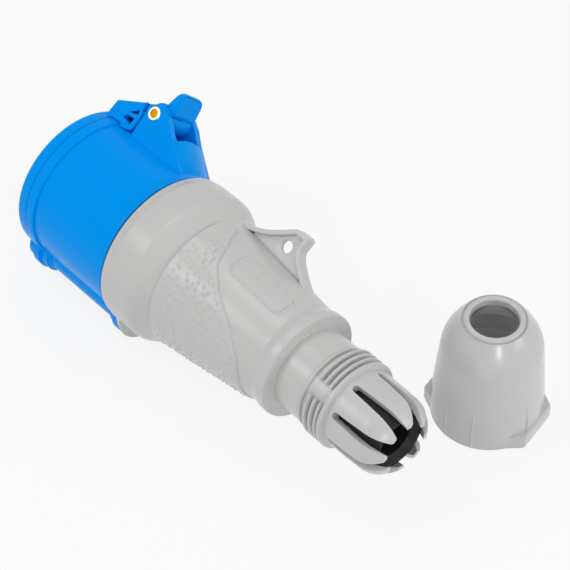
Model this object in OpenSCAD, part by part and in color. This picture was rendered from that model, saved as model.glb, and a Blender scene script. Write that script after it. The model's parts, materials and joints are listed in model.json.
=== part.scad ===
// Pin and sleeve cable socket, 16 A two pole and earth, lying on a table with its gland nut taken off.
// Millimetres, +Z up. The socket is drawn along +X with its lid hinge at +Z, then rolled and laid down.

/* [Plug interface] */
// Bore radius of the collar that takes the plug
collar_bore_r = 22.75; // [20:0.05:26]
// Width of the round gap that takes the plug's shroud
plug_gap = 4.75; // [4.2:0.05:5.5]
// Diameter of the line and neutral pins
pin_d = 5; // [4:0.1:6]
// Diameter of the earth pin
earth_pin_d = 7; // [6:0.1:8]
// Radius of the circle that the contacts stand on
contact_circle_r = 9.5; // [8:0.1:10]

/* [Front shell] */
// Wall of the shell around the plug
shell_wall = 3.15; // [2.6:0.05:4.5]
// Where the shell meets the handle
joint_x = 45; // [42:0.5:55]
// Rise of the key rib above the shell
rib_rise = 3.2; // [2.4:0.1:5]
// Radius of the key rib's round back
rib_round = 6.6; // [6:0.1:9]

/* [Lid] */
// Depth of the lid skirt
lid_skirt = 4.65; // [4:0.05:6]
// Crown of the lid's front
lid_dome = 1.5; // [0.5:0.1:3]
// Opening angle of the lid in the drawing
lid_open = 0; // [0:1:105]

/* [Hinge] */
// Distance of the hinge pin behind the lid edge
hinge_x = 19.05; // [17:0.05:22]
// Height of the hinge pin above the shell
hinge_rise = 8.8; // [8:0.05:11]
// Radius of the hinge pin
hinge_pin_r = 1.5; // [1:0.05:2]
// Half width over the two cheeks
cheek_outer = 9.3; // [8.5:0.1:11]
// Half width between the two cheeks
cheek_inner = 6.3; // [6:0.1:7]

/* [Handle] */
// Radius of the handle behind its shoulder
grip_front_r = 23.15; // [21:0.05:25]
// Radius of the handle ahead of its rear rim
grip_rear_r = 18.3; // [17:0.05:20]
// Length of the handle from the joint to its rear face
handle_length = 69.8; // [65:0.1:85]
// Wall of the handle
handle_wall = 2.75; // [2:0.05:3.5]
// Height of the grip pad above the handle
pad_rise = 0.85; // [0.4:0.05:1.5]
// Height of the label frame above the handle
label_rise = 0.35; // [0.2:0.05:0.8]

/* [Gland] */
// Radius of the neck behind the handle
neck_r = 14.5; // [13:0.1:16]
// Rise of the thread above the neck
thread_rise = 1.3; // [0.8:0.1:2]
// Rise of the thread in one turn
thread_pitch = 2.35; // [1.5:0.05:2.5]
// Number of clamping fingers
finger_count = 8; // [4:1:10]
// Length of the fingers behind the thread
finger_length = 22.1; // [18:0.1:28]
// Width of the slot between two fingers at its root
slot_w = 2.4; // [1:0.1:3]
// Radius of the hole through the cable seal
cable_r = 6.6; // [4:0.1:7.2]

/* [Gland nut] */
// Height of the nut
nut_h = 43; // [38:0.1:50]
// Radius of the nut at its base
nut_base_r = 18.4; // [18.2:0.1:21]
// Wall of the nut around its thread
nut_wall = 2.3; // [1.5:0.05:3.5]
// Radius of the cable hole in the nut
nut_hole_r = 7.85; // [6:0.05:9]
// Rise of the flat grip wings above the base
wing_rise = 0.65; // [0.2:0.05:1.5]

/* [Placement] */
// Roll of the socket about its own axis
roll_angle = 47; // [0:1:90]
// Distance of the nut from the lid edge along the table
nut_x = 147.65; // [120:0.05:200]
// Distance of the nut from the socket axis across the table
nut_y = 48.6; // [48:0.05:90]

/* [Hidden] */
$fn = 96;
seal_gap = 0.05;
nose_x = 3;
shell_r = collar_bore_r + shell_wall;
flange_r = shell_r + 0.8;
nose_r = collar_bore_r + 0.85;
spigot_r = shell_r - 1.55;
lid_r = flange_r - 0.3;
collar_r = shell_r + 1.7;
hinge_z = shell_r + hinge_rise;
flange_x = lid_skirt + 0.1;
tongue_x = joint_x + 3.7;
collar_x = joint_x + 6;
grip_x = joint_x + 21.4;
rear_x = joint_x + handle_length;
thread_r = neck_r + thread_rise;
thread_x = rear_x + 12.2;
thread_end = thread_x + 10;
tip_x = thread_end + finger_length;
finger_r = neck_r - 0.55;
seal_r = finger_r - 3.15;
bulk_x = joint_x - 9;
carrier_r = collar_bore_r - plug_gap;
carrier_x = 8;
carrier_back = joint_x - 0.5;
flange_front = joint_x - 4;
block_r = carrier_r - 2.1;
screw_y = collar_bore_r - 2.75;
rest_tilt = asin((collar_r - flange_r) / (collar_x - flange_x - 0.3));
rest_z = flange_r * cos(rest_tilt) - (flange_x + 0.3) * sin(rest_tilt);
nut_turn = 14;
nut_bore_r = nut_base_r - nut_wall;
wing_d = nut_base_r + wing_rise;
wing_half = 7.9;
wing_h = 9;
ridge_h = 18;
cover_wall = 2.5;
centre_x = (nut_x + wing_d * cos(nut_turn) + wing_half * sin(nut_turn) - lid_dome) / 2;
centre_y = (nut_y + nut_base_r - collar_r) / 2;
finger_turn = 14.6;
label_turn = 45;
line_at = 60;
neutral_at = -60;
earth_at = 180;
blue = [0.02, 0.45, 0.88];
grey = [0.78, 0.775, 0.765];
nut_grey = [0.72, 0.715, 0.705];
rubber = [0.07, 0.07, 0.07];
insert_black = [0.12, 0.12, 0.13];
brass = [0.82, 0.62, 0.25];
steel = [0.75, 0.76, 0.78];

// Lays the socket on the table, on its flange and its handle collar
module lay() {
  translate([-centre_x, -centre_y, rest_z]) rotate([0, -rest_tilt, 0]) rotate([-roll_angle, 0, 0]) children();
}

// Turns a list of [distance along the axis, radius] about the socket axis
module turned(points) {
  rotate([0, 90, 0]) rotate_extrude() polygon([for (p = points) [p[1], p[0]]]);
}

// A flat piece with its outline in the hinge plane, from y0 to y1 across it
module across(points, y0, y1) {
  translate([0, y1, 0]) rotate([90, 0, 0]) linear_extrude(y1 - y0) polygon(points);
}

// A round bar across the hinge plane
module cross_bar(x, z, r, y0, y1) {
  translate([x, y1, z]) rotate([90, 0, 0]) cylinder(r = r, h = y1 - y0);
}

// A round bar along the axis
module along(r, x0, x1) {
  translate([x0, 0, 0]) rotate([0, 90, 0]) cylinder(r = r, h = x1 - x0);
}

// A round bar along the underside, its back a given rise outside the shell
module under_bar(x0, x1, r, rise) {
  translate([0, 0, r - shell_r - rise]) along(r, x0, x1);
}

// The same with a flared start
module under_flare(x0, x1, r0, r, rise) {
  translate([x0, 0, r - shell_r - rise]) rotate([0, 90, 0]) cylinder(r1 = r0, r2 = r, h = x1 - x0);
}

// Puts an outline at the hinge pin
module at_hinge() {
  translate([hinge_x, 0, hinge_z]) children();
}

// A smooth step from one radius to another, as [distance, radius] pairs
function blend(x0, r0, x1, r1, n) =
  [for (i = [0:n]) [x0 + (x1 - x0) * i / n, r0 + (r1 - r0) * (1 - cos(180 * i / n)) / 2]];

// A quarter round, as [distance, radius] pairs from one angle to another
function arc(x, r, rad, a0, a1, n) =
  [for (i = [0:n]) let (a = a0 + (a1 - a0) * i / n) [x + rad * sin(a), r + rad * cos(a)]];

function grip_r(x) = grip_front_r + (grip_rear_r - grip_front_r) * (x - grip_x) / (rear_x - 6.2 - grip_x);

module front_shell_body() {
  turned(concat(
    [[nose_x, 15], [nose_x, nose_r - 0.5], [nose_x + 0.5, nose_r], [flange_x, nose_r]],
    arc(flange_x + 0.5, flange_r - 0.5, 0.5, -90, 0, 6),
    arc(flange_x + 3.35, flange_r - 0.6, 0.6, 0, 90, 6),
    [[flange_x + 3.95, shell_r], [joint_x - 2.6, shell_r]],
    arc(joint_x - 2, shell_r + 0.1, 0.45, -60, 0, 4),
    arc(joint_x - 1.2, shell_r + 0.1, 0.45, 0, 90, 5),
    [[joint_x - 0.75, spigot_r], [joint_x + 7.4, spigot_r], [joint_x + 8, spigot_r - 0.55], [joint_x + 8, 15]]
  ));
}

// Two cheeks for the hinge pin and the crowned hood behind them
module hood() {
  cheek = [[-3.7, -13.7], [-3.7, -10.4], [-3.55, -1.7], [-3.85, 1.3], [-3.45, 1.85], [1.05, 4.2],
    [5.95, 1.35], [9.75, -1.9], [14.8, -5.5], [21.6, -10.3], [21.6, -13.7]];
  at_hinge() {
    across(cheek, cheek_inner, cheek_outer);
    across(cheek, -cheek_outer, -cheek_inner);
    intersection() {
      translate([12, 0, -22.7]) rotate([0, 90, 0]) cylinder(r1 = 21.2, r2 = 13.7, h = 10.7);
      translate([11, -cheek_outer, -13.7]) cube([13, 2 * cheek_outer, 15]);
    }
  }
}

// The round key rib with its two lobes behind the flange and the tongue over the joint
module key_rib() {
  under_bar(flange_x + 2, joint_x - 1.5, rib_round, rib_rise);
  under_bar(flange_x, flange_x + 2.7, 8.6, 5.3);
  under_flare(flange_x + 2.7, flange_x + 3.2, 8.6, 7.9, 4.4);
  under_bar(flange_x + 3.2, flange_x + 6.2, 7.4, 4.5);
  under_flare(flange_x + 6.2, flange_x + 7.4, 7.4, 6.7, 3.4);
  difference() {
    union() {
      under_flare(joint_x - 2.6, joint_x + 0.6, 4.3, 5.6, 4.9);
      under_bar(joint_x + 0.6, tongue_x, 5.6, 4.9);
    }
    along(shell_r + 0.3, joint_x - 0.75, tongue_x + 1);
  }
}

// The blue front shell with its collar, key rib and hinge hood
module front_shell() {
  color(blue) lay() difference() {
    union() {
      front_shell_body();
      hood();
      key_rib();
    }
    along(collar_bore_r, nose_x - 1, bulk_x);
    along(carrier_r + 0.05, bulk_x - 1, joint_x - 3);
    along(spigot_r - 1.85, joint_x - 4, joint_x + 9);
    translate([nose_x - 1, -3.5, -shell_r - 0.9]) cube([bulk_x - nose_x - 1, 7, 8]);
    cross_bar(hinge_x, hinge_z, hinge_pin_r + 0.02, -20, 20);
    for (s = [-1, 1]) translate([bulk_x + 1, screw_y * s, 0]) rotate([0, 90, 0]) cylinder(r = 1.25, h = 5);
  }
}

module lid_shape() {
  difference() {
    union() {
      turned(concat(
        [[-lid_dome, 0], [-lid_dome, 9], [-lid_dome + 0.25, 13]],
        [for (i = [1:6]) [-lid_dome + 0.25 + (lid_dome - 0.55) * i * i / 36, 13 + (lid_r - 16) * i / 6]],
        arc(1.2, lid_r - 1.2, 1.2, -80, 0, 8),
        [[lid_skirt - 0.25, lid_r], [lid_skirt, lid_r - 0.25], [lid_skirt, 20], [lid_skirt, 0]]
      ));
      under_flare(0.4, 1.2, 6.2, 7, 4.35);
      under_bar(1.2, lid_skirt, 7, 4.35);
    }
    along(nose_r + 0.8, 2.2, 6);
  }
}

// The roof over the hinge and the two arms with their windows
module lid_bracket() {
  roof = [[-16.65, -9.9], [-15.65, -3.8], [-1.85, 2.9], [0, 3.5], [0, 0], [-3.75, -0.8], [-13.45, -5.4],
    [-13.45, -9.9]];
  arm = [[-16.65, -9.9], [-15.65, -3.8], [-4.05, 1.86], [-4.05, -1.5], [-4.15, -6.8], [-4.4, -8.6],
    [-5.1, -9.5], [-6.2, -9.9], [-9.2, -10.4], [-14.45, -9.9]];
  window_low = [[-10.2, -7.1], [-9.1, -5.65], [-5.6, -5.35], [-6.1, -7.8]];
  window_high = [[-8.7, -4.3], [-5.7, -2], [-5.4, -3.4], [-7.4, -4.3]];
  difference() {
    at_hinge() difference() {
      union() {
        across(roof, -cheek_outer, cheek_outer);
        across(arm, cheek_inner + 0.2, cheek_outer + 0.4);
        across(arm, -cheek_outer - 0.4, -cheek_inner - 0.2);
      }
      across(window_low, -20, 20);
      across(window_high, -20, -cheek_inner);
      across(window_high, cheek_inner, 20);
      cross_bar(0, 0, 4.75, cheek_inner - 0.15, 20);
      cross_bar(0, 0, 4.75, -20, -cheek_inner + 0.15);
    }
    along(shell_r + 0.4, flange_x + 4.4, 30);
    along(flange_r + 0.3, lid_skirt, flange_x + 4.5);
    along(nose_r + 0.8, 2.2, 6);
  }
}

// The thumb tab, a leaning plate with round corners
module lid_tab() {
  outline = [[-0.65, 2.8], [1.65, 10.2], [2.35, 10.8], [3.35, 10.8], [3.95, 10.2], [4.75, 3.2], [1.95, -1.2]];
  at_hinge() intersection() {
    across(outline, -5.8, 5.8);
    translate([-4, 0, 0]) rotate([90, 0, 90]) linear_extrude(12) union() {
      translate([-5.8, -4.7]) square([11.6, 12.7]);
      translate([-3, 5.3]) square([6, 5.5]);
      for (s = [-1, 1]) translate([3 * s, 8]) circle(r = 2.8);
    }
  }
}

// The hinged lid with its arms, knuckle barrel and thumb tab
module lid() {
  color(blue) lay() swung() difference() {
    union() {
      lid_shape();
      lid_bracket();
      lid_tab();
      cross_bar(hinge_x, hinge_z, 4.5, -cheek_inner + 0.15, cheek_inner - 0.15);
    }
    cross_bar(hinge_x, hinge_z, hinge_pin_r + 0.05, -20, 20);
    cross_bar(hinge_x, hinge_z, hinge_pin_r + 1.85, -4.2, 4.2);
    translate([hinge_x, -2.2, hinge_z]) rotate([90, 0, 0]) rotate_extrude(angle = 150, start = 198)
      translate([hinge_pin_r + 0.1, 0]) square([4.5, 1.6]);
  }
}

// Swings the lid about its pin
module swung() {
  translate([hinge_x, 0, hinge_z]) rotate([0, lid_open, 0]) translate([-hinge_x, 0, -hinge_z]) children();
}

// The rubber ring that seals the lid on the collar
module lid_gasket() {
  color(rubber) lay() swung() turned([[2.2, nose_r - 2], [2.2, nose_r + 0.75], [nose_x, nose_r + 0.75],
    [nose_x, nose_r - 1.5], [2.7, nose_r - 2]]);
}

// The riveted hinge pin
module hinge_pin() {
  end = cheek_outer;
  rivet = hinge_pin_r + 0.9;
  color(brass) lay() at_hinge() rotate([90, 0, 0]) rotate_extrude() polygon([
    [0, -end - 0.05], [rivet - 1.05, -end - 0.05], [rivet - 0.9, -end - 0.45], [rivet - 0.55, -end - 0.6],
    [rivet - 0.2, -end - 0.5], [rivet, -end - 0.25], [rivet, -end], [hinge_pin_r, -end], [hinge_pin_r, end],
    [rivet, end], [rivet, end + 0.25], [rivet - 0.2, end + 0.5], [rivet - 0.55, end + 0.6],
    [rivet - 0.9, end + 0.45], [rivet - 1.05, end + 0.05], [0, end + 0.05]]);
}

// The torsion spring inside the knuckle barrel, with one leg resting on the shell
module lid_spring() {
  coil_r = hinge_pin_r + 1;
  color(steel) lay() at_hinge() union() {
    rotate([90, 0, 0]) for (i = [-4:4])
      translate([0, 0, i * 0.74]) rotate_extrude() translate([coil_r, 0]) circle(r = 0.4);
    translate([-coil_r, -2.98, 0]) rotate([0, 189, 0]) cylinder(r = 0.4, h = hinge_rise + 0.1);
  }
}

// Places a contact's own axis at its angle round the socket axis
module at_contact(angle) {
  rotate([angle, 0, 0]) translate([0, 0, contact_circle_r]) children();
}

// Room for one contact in the insulating block
module chamber(angle, r) {
  at_contact(angle) {
    along(r + 1.8, carrier_x, carrier_back);
    along(r + 2.45, carrier_back - 2, carrier_back + 1);
  }
}

// The front plate of the insert, with a hole for each pin
module contact_face() {
  color(insert_black) lay() difference() {
    turned(concat(
      [[carrier_x, 0]],
      arc(carrier_x + 0.8, carrier_r - 0.8, 0.8, -90, 0, 5),
      [[carrier_x + 4, carrier_r], [carrier_x + 4, 0]]
    ));
    at_contact(line_at) along(pin_d / 2 + 0.9, carrier_x - 1, carrier_x + 5);
    at_contact(neutral_at) along(pin_d / 2 + 0.9, carrier_x - 1, carrier_x + 5);
    at_contact(earth_at) along(earth_pin_d / 2 + 0.9, carrier_x - 1, carrier_x + 5);
  }
}

// The sleeve around the insert
module contact_carrier() {
  color(insert_black) lay() difference() {
    along(carrier_r, carrier_x + 4, flange_front);
    along(block_r + 0.05, carrier_x, carrier_back);
  }
}

// The flange at the back of the sleeve, which two screws hold in the shell
module carrier_flange() {
  color(insert_black) lay() difference() {
    along(collar_bore_r - 0.95, flange_front, carrier_back);
    along(block_r + 0.05, carrier_x, carrier_back + 1);
    for (s = [-1, 1]) translate([0, screw_y * s, 0]) along(1.25, flange_front - 1, carrier_back + 1);
  }
}

// The insulating block that keeps the contacts apart
module contact_block() {
  color(insert_black) lay() difference() {
    along(block_r, carrier_x + 4, carrier_back);
    chamber(line_at, pin_d / 2);
    chamber(neutral_at, pin_d / 2);
    chamber(earth_at, earth_pin_d / 2);
    along(1.45, bulk_x - 0.5, carrier_back + 1);
  }
}

// The rear cover that traps the contacts in the block
module carrier_back_cover() {
  cover_end = carrier_back + cover_wall;
  color(insert_black) lay() difference() {
    along(block_r + 0.1, carrier_back, cover_end);
    at_contact(line_at) along(pin_d / 2 + 1.2, carrier_back - 1, cover_end + 1);
    at_contact(neutral_at) along(pin_d / 2 + 1.2, carrier_back - 1, cover_end + 1);
    at_contact(earth_at) along(earth_pin_d / 2 + 1.2, carrier_back - 1, cover_end + 1);
    along(1.45, carrier_back - 1, cover_end + 1);
  }
}

// The screw that joins the rear cover to the block
module cover_screw() {
  head = carrier_back + 2.5;
  color(steel) lay() difference() {
    union() {
      along(1.4, bulk_x, head + 1);
      along(2.8, head, head + 1.8);
    }
    translate([head + 1, -3, -0.4]) cube([2, 6, 0.8]);
  }
}

// The two screws that hold the insert in the shell
module carrier_fixing_screws() {
  color(steel) lay() for (s = [-1, 1]) translate([0, screw_y * s, 0]) difference() {
    union() {
      along(1.2, bulk_x + 1.2, carrier_back + 0.5);
      along(2.2, carrier_back, carrier_back + 1.5);
    }
    translate([carrier_back + 0.8, -3, -0.35]) cube([2, 6, 0.7]);
  }
}

// One sleeve contact with its screw terminal, for a pin of radius r
module contact(angle, r) {
  front = carrier_x + 4.4;
  screw = carrier_back + 7.5;
  at_contact(angle) difference() {
    union() {
      along(r + 1.1, front, screw + 4);
      along(r + 2.4, carrier_back - 2, carrier_back);
    }
    along(r + 0.025, front - 1, carrier_back - 9.5);
    translate([front, 0, 0]) rotate([0, 90, 0]) cylinder(r1 = r + 0.6, r2 = r + 0.02, h = 0.8);
    along(r - 0.6, carrier_back + 1.5, screw + 5);
    for (a = [0, 90]) rotate([a + 45, 0, 0]) translate([front - 1, -0.4, -10]) cube([16.6, 0.8, 20]);
    translate([screw, 0, 0]) cylinder(r = 1.75, h = 10);
    translate([screw, 0, r + 0.9]) cylinder(r = 3, h = 10);
  }
}

// One spring ring round a slotted contact
module contact_ring(angle, r) {
  at_contact(angle) difference() {
    along(r + 1.6, carrier_x + 7, carrier_x + 11);
    along(r + 1.1, carrier_x + 6, carrier_x + 12);
    translate([carrier_x + 6, -0.6, 0]) cube([6, 1.2, 10]);
  }
}

// One terminal screw, driven in from outside
module terminal_screw(angle, r) {
  at_contact(angle) translate([carrier_back + 7.5, 0, 0]) difference() {
    union() {
      translate([0, 0, r - 0.9]) cylinder(r = 1.7, h = 2.5);
      translate([0, 0, r + 0.9]) cylinder(r = 2.9, h = 2);
    }
    translate([-0.4, -4, r + 1.9]) cube([0.8, 8, 2]);
  }
}

module line_contact() {
  color(brass) lay() contact(line_at, pin_d / 2);
}

module neutral_contact() {
  color(brass) lay() contact(neutral_at, pin_d / 2);
}

module earth_contact() {
  color(brass) lay() contact(earth_at, earth_pin_d / 2);
}

module line_contact_ring() {
  color(steel) lay() contact_ring(line_at, pin_d / 2);
}

module neutral_contact_ring() {
  color(steel) lay() contact_ring(neutral_at, pin_d / 2);
}

module earth_contact_ring() {
  color(steel) lay() contact_ring(earth_at, earth_pin_d / 2);
}

module line_terminal_screw() {
  color(steel) lay() terminal_screw(line_at, pin_d / 2);
}

module neutral_terminal_screw() {
  color(steel) lay() terminal_screw(neutral_at, pin_d / 2);
}

module earth_terminal_screw() {
  color(steel) lay() terminal_screw(earth_at, earth_pin_d / 2);
}

// Outside of the handle, from its collar to the tips of the fingers
function handle_outside() = concat(
  [[joint_x, 20], [joint_x, collar_r - 0.95]],
  arc(joint_x + 0.5, collar_r - 0.95, 0.5, -80, -10, 4),
  [[joint_x + 2.6, collar_r - 0.36], [joint_x + 3, collar_r - 0.06]],
  [[collar_x, collar_r], [joint_x + 11.4, collar_r]],
  blend(joint_x + 12.4, collar_r - 0.04, grip_x - 0.4, grip_front_r + 0.05, 14),
  [[rear_x - 7.2, grip_r(rear_x - 7.2)]],
  blend(rear_x - 6.4, grip_rear_r - 0.02, rear_x - 2.4, grip_rear_r + 0.75, 8),
  arc(rear_x - 0.5, grip_rear_r + 0.25, 0.5, 0, 90, 5),
  [[rear_x, neck_r + 0.4]],
  arc(rear_x + 0.4, neck_r + 0.4, 0.4, -90, -180, 4),
  [[thread_x - 0.6, neck_r], [thread_x - 0.2, neck_r - 0.3], [thread_x + 0.2, neck_r - 0.3]],
  [[thread_x + 0.5, neck_r + 0.3], [thread_end - 2, neck_r + 0.3]],
  [[thread_end - 1.7, thread_r - 0.15], [thread_end - 0.7, thread_r - 0.15], [thread_end, thread_r - 1]],
  [[thread_end, finger_r + 0.5], [thread_end + 0.6, finger_r], [tip_x - 13, finger_r]],
  [for (i = [0:10]) [tip_x - 9 + 0.9 * i, finger_r - 0.2 - 4.55 * pow(i / 10, 2.6)]],
  [[tip_x, 0]]
);

// The hollow for the wiring, the neck and the room for the cable seal
module handle_inside() {
  turned([[joint_x - 1, 0], [joint_x - 1, spigot_r + seal_gap], [joint_x + 9, spigot_r + seal_gap],
    [joint_x + 9, spigot_r - 1.15], [joint_x + 13, spigot_r - 1.55], [grip_x, grip_front_r - handle_wall],
    [rear_x - 8.8, grip_r(rear_x - 8.8) - handle_wall], [rear_x - 4.3, seal_r + 0.7],
    [rear_x - 2.8, neck_r - 5.5], [thread_x - 3, neck_r - 5.5], [thread_x - 3, seal_r],
    [tip_x - 9, seal_r], [tip_x - 5, seal_r - 0.45],
    [tip_x - 2.8, seal_r - 1.3], [tip_x - 1.1, seal_r - 2.2], [tip_x + 0.1, seal_r - 3.1], [tip_x + 1, 0]]);
}

// Raised skin over the handle, by a given height
module handle_skin(rise) {
  turned([[grip_x - 2.4, 10], [grip_x - 2.4, grip_r(grip_x - 2.4) + rise],
    [rear_x - 6.8, grip_r(rear_x - 6.8) + rise], [rear_x - 6.8, 10]]);
}

// The raised grip pad, cut to its flowing outline on both sides
module grip_pad() {
  outline = [[-1.2, -30], [-1.2, 19.4], [-0.8, 20.3], [0, 20.9], [1.2, 21.2], [3.4, 21.2], [4.6, 20.8],
    [5.6, 20], [7, 18.4], [8.8, 16.5], [10.6, 13.3], [12.6, 10.5], [15.8, 7.8], [18.8, 5.2], [22.6, 2.8],
    [26.3, 0.3], [29.3, -2.1], [32.6, -5.4], [35.7, -8.7], [37.3, -12.7], [38, -18], [38.1, -30]];
  intersection() {
    handle_skin(pad_rise);
    translate([grip_x, 0, 0]) across(outline, -30, 30);
  }
}

// A plate outline with round corners
module round_plate(x0, x1, half, r) {
  for (x = [x0 + r, x1 - r]) for (s = [-1, 1]) translate([x, (half - r) * s]) circle(r = r);
  translate([x0, -half + r]) square([x1 - x0, 2 * half - 2 * r]);
  translate([x0 + r, -half]) square([x1 - x0 - 2 * r, 2 * half]);
}

// The raised frame around the plain label field
module label_frame() {
  rotate([label_turn, 0, 0]) intersection() {
    handle_skin(label_rise);
    translate([grip_x, 0, 0]) linear_extrude(40) difference() {
      round_plate(15.2, 39.2, 4.6, 1.6);
      round_plate(16, 38.4, 3.8, 1);
    }
  }
}

module eye_outline() {
  polygon([[0.1, 20], [1.2, 23.9], [6.3, 25], [11, 27], [15.7, 30.1], [19, 32.6], [24.5, 32.6],
    [24.1, 27.2], [26.7, 24.5], [29.7, 22.5], [33, 20.6], [33, 17], [0.1, 17]]);
}

module eye_inner() {
  polygon([[4.6, 17], [6.1, 22.9], [10.5, 24.9], [14.9, 27.9], [19.4, 31], [22.9, 31], [22.2, 26.9],
    [24.4, 23.6], [28.1, 20.6], [28.1, 17]]);
}

// The hanging eye, a thin web with a wider border
module hanging_eye() {
  translate([grip_x, 0.8, 0]) rotate([90, 0, 0]) linear_extrude(1.6) eye_outline();
  translate([grip_x, 2.4, 0]) rotate([90, 0, 0]) linear_extrude(4.8) difference() {
    eye_outline();
    eye_inner();
  }
}

// One turn segment of the interrupted thread
module thread_ridge(x, side) {
  half = atan(thread_pitch * 0.446 / (2 * thread_r));
  translate([x, 0, 0]) rotate([0, 0, side * half]) rotate([0, 90, 0])
    rotate_extrude(angle = 160, start = side > 0 ? 100 : -80)
    polygon([[neck_r - 1, -0.95], [neck_r + 0.4, -0.85], [thread_r, -0.45], [thread_r, 0.45],
      [neck_r + 0.4, 0.85], [neck_r - 1, 0.95]]);
}

// One slot between two fingers, round at its root and wider at the tips
module finger_slot() {
  root = thread_end + 3.3;
  wide = slot_w / 2 + 0.75;
  translate([0, 0, 7]) linear_extrude(10) union() {
    translate([root, 0]) circle(r = slot_w / 2);
    polygon([[root, -slot_w / 2], [tip_x - 2.2, -wide], [tip_x + 1, -wide - 0.4], [tip_x + 1, wide + 0.4],
      [tip_x - 2.2, wide], [root, slot_w / 2]]);
  }
}

// The grey handle with its grip pad, hanging eye, thread and clamping fingers
module handle() {
  color(grey) lay() difference() {
    union() {
      turned(concat(handle_outside(), [[joint_x, 0]]));
      grip_pad();
      label_frame();
      hanging_eye();
      under_flare(tongue_x + 0.25, collar_x + 0.8, 11.4, 12.4, 4.9);
      for (i = [0:2]) for (s = [-1, 1])
        thread_ridge(thread_x + 2 + i * thread_pitch + (s > 0 ? 0 : thread_pitch / 2), s);
    }
    handle_inside();
    difference() {
      under_bar(joint_x - 1, tongue_x + 0.25, 5.85, 5.15);
      along(shell_r, joint_x - 2, tongue_x + 1);
    }
    translate([grip_x + 18.3, 10, 25.9]) rotate([90, 0, 0]) cylinder(r = 2.1, h = 20);
    for (i = [0:finger_count - 1]) rotate([finger_turn + i * 360 / finger_count, 0, 0]) finger_slot();
  }
}

// The rubber ring between the shell and the handle
module joint_seal() {
  color(rubber) lay() turned([[joint_x - 0.75, spigot_r + seal_gap], [joint_x - 0.75, shell_r + 0.2],
    [joint_x, shell_r + 0.2], [joint_x, spigot_r + seal_gap]]);
}

// The rubber bush that the fingers press on the cable
module cable_seal() {
  start = thread_x - 3;
  fit = seal_r - seal_gap;
  color(rubber) lay() turned([[start, cable_r + 1.2], [start, fit - 0.35], [start + 0.4, fit],
    [tip_x - 9, fit], [tip_x - 5, fit - 0.45], [tip_x - 3.4, fit - 1.05],
    [tip_x - 2.7, fit - 1.6], [tip_x - 2.6, fit - 2.2],
    [tip_x - 4.9, cable_r], [start + 1.2, cable_r]]);
}

// Outside of the nut: a slightly tapered skirt, a dome and a rim round the cable hole
module nut_outside() {
  rotate_extrude() polygon(concat(
    [[0, 0], [nut_base_r - 0.3, 0], [nut_base_r, 0.3], [nut_base_r - 0.1, 5], [nut_base_r - 0.45, 12],
      [nut_base_r - 1, 19], [nut_base_r - 1.6, 26]],
    [for (i = [0:12]) let (a = 7.5 * i)
      [10.56 + (nut_base_r - 12.58) * pow(cos(a), 2), nut_h - 12.4 + 11.62 * pow(sin(a), 1.26)]],
    [[10.1, nut_h - 1.05], [9.75, nut_h - 1.05], [9.62, nut_h - 0.4], [9.3, nut_h], [0, nut_h]]
  ));
}

// One flat grip wing of the nut, sloping back into the skirt
module grip_wing() {
  intersection() {
    linear_extrude(wing_h) polygon([[wing_d - 7.05, -wing_half - 5.1], [wing_d - 3.45, -wing_half - 2.5],
      [wing_d, -wing_half], [wing_d, wing_half], [wing_d - 3.45, wing_half + 2.5],
      [wing_d - 7.05, wing_half + 5.1]]);
    across([[wing_d - 9, 0], [wing_d - 0.4, 0], [wing_d, 0.5], [wing_d, wing_h - 4.4],
      [wing_d - 2.65, wing_h], [wing_d - 9, wing_h]], -wing_half - 6.1, wing_half + 6.1);
  }
}

// The gland nut, standing on its open end
module gland_nut() {
  color(nut_grey) translate([nut_x - centre_x, nut_y - centre_y, 0]) difference() {
    union() {
      nut_outside();
      for (a = [0, 180]) rotate([0, 0, nut_turn + a]) grip_wing();
      for (a = [-92, -61, -2, 88, 119, 178]) rotate([90, 0, a]) translate([0, 0, -0.35]) linear_extrude(0.7)
        polygon([[nut_base_r - 2.2, 0.3], [nut_base_r + 0.2, 0.3], [nut_base_r + 0.1, ridge_h / 2],
          [nut_base_r - 0.9, ridge_h], [nut_base_r - 2.2, ridge_h]]);
    }
    rotate_extrude() polygon(concat(
      [[0, -1], [nut_bore_r + 0.5, -1], [nut_bore_r, 0.8]],
      [for (i = [0:3]) for (p = [[0, 1.6], [-0.8, 2.3], [-0.8, 2.7], [0, 3.4]])
        [nut_bore_r + p[0], p[1] + i * thread_pitch]],
      [[nut_bore_r, 14], [nut_bore_r - 1.5, 22], [nut_bore_r - 1.7, nut_h - 13.4]],
      [[nut_bore_r - 3.7, nut_h - 8.4], [nut_hole_r + 1.55, nut_h - 3.6], [nut_hole_r, nut_h - 2.6]],
      [[nut_hole_r, nut_h - 0.3], [nut_hole_r + 0.4, nut_h + 0.1], [0, nut_h + 0.1]]
    ));
  }
}

front_shell();
lid();
lid_gasket();
hinge_pin();
lid_spring();
contact_face();
contact_carrier();
carrier_flange();
contact_block();
carrier_back_cover();
cover_screw();
carrier_fixing_screws();
line_contact();
neutral_contact();
earth_contact();
line_contact_ring();
neutral_contact_ring();
earth_contact_ring();
line_terminal_screw();
neutral_terminal_screw();
earth_terminal_screw();
handle();
joint_seal();
cable_seal();
gland_nut();
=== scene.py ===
"""Studio scene of a pin and sleeve cable socket that lies on a table with its gland nut beside it.

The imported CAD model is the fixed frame. Pieces that need finer shapes than the frame gives are numpy
surfaces in the socket's own axes, in millimetres: x along the socket from its lid, z towards the lid hinge.
"""

from __future__ import annotations

import json
import logging
import math
from dataclasses import dataclass
from enum import Enum

import bmesh
import bpy
import numpy as np
from mathutils import Matrix


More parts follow.
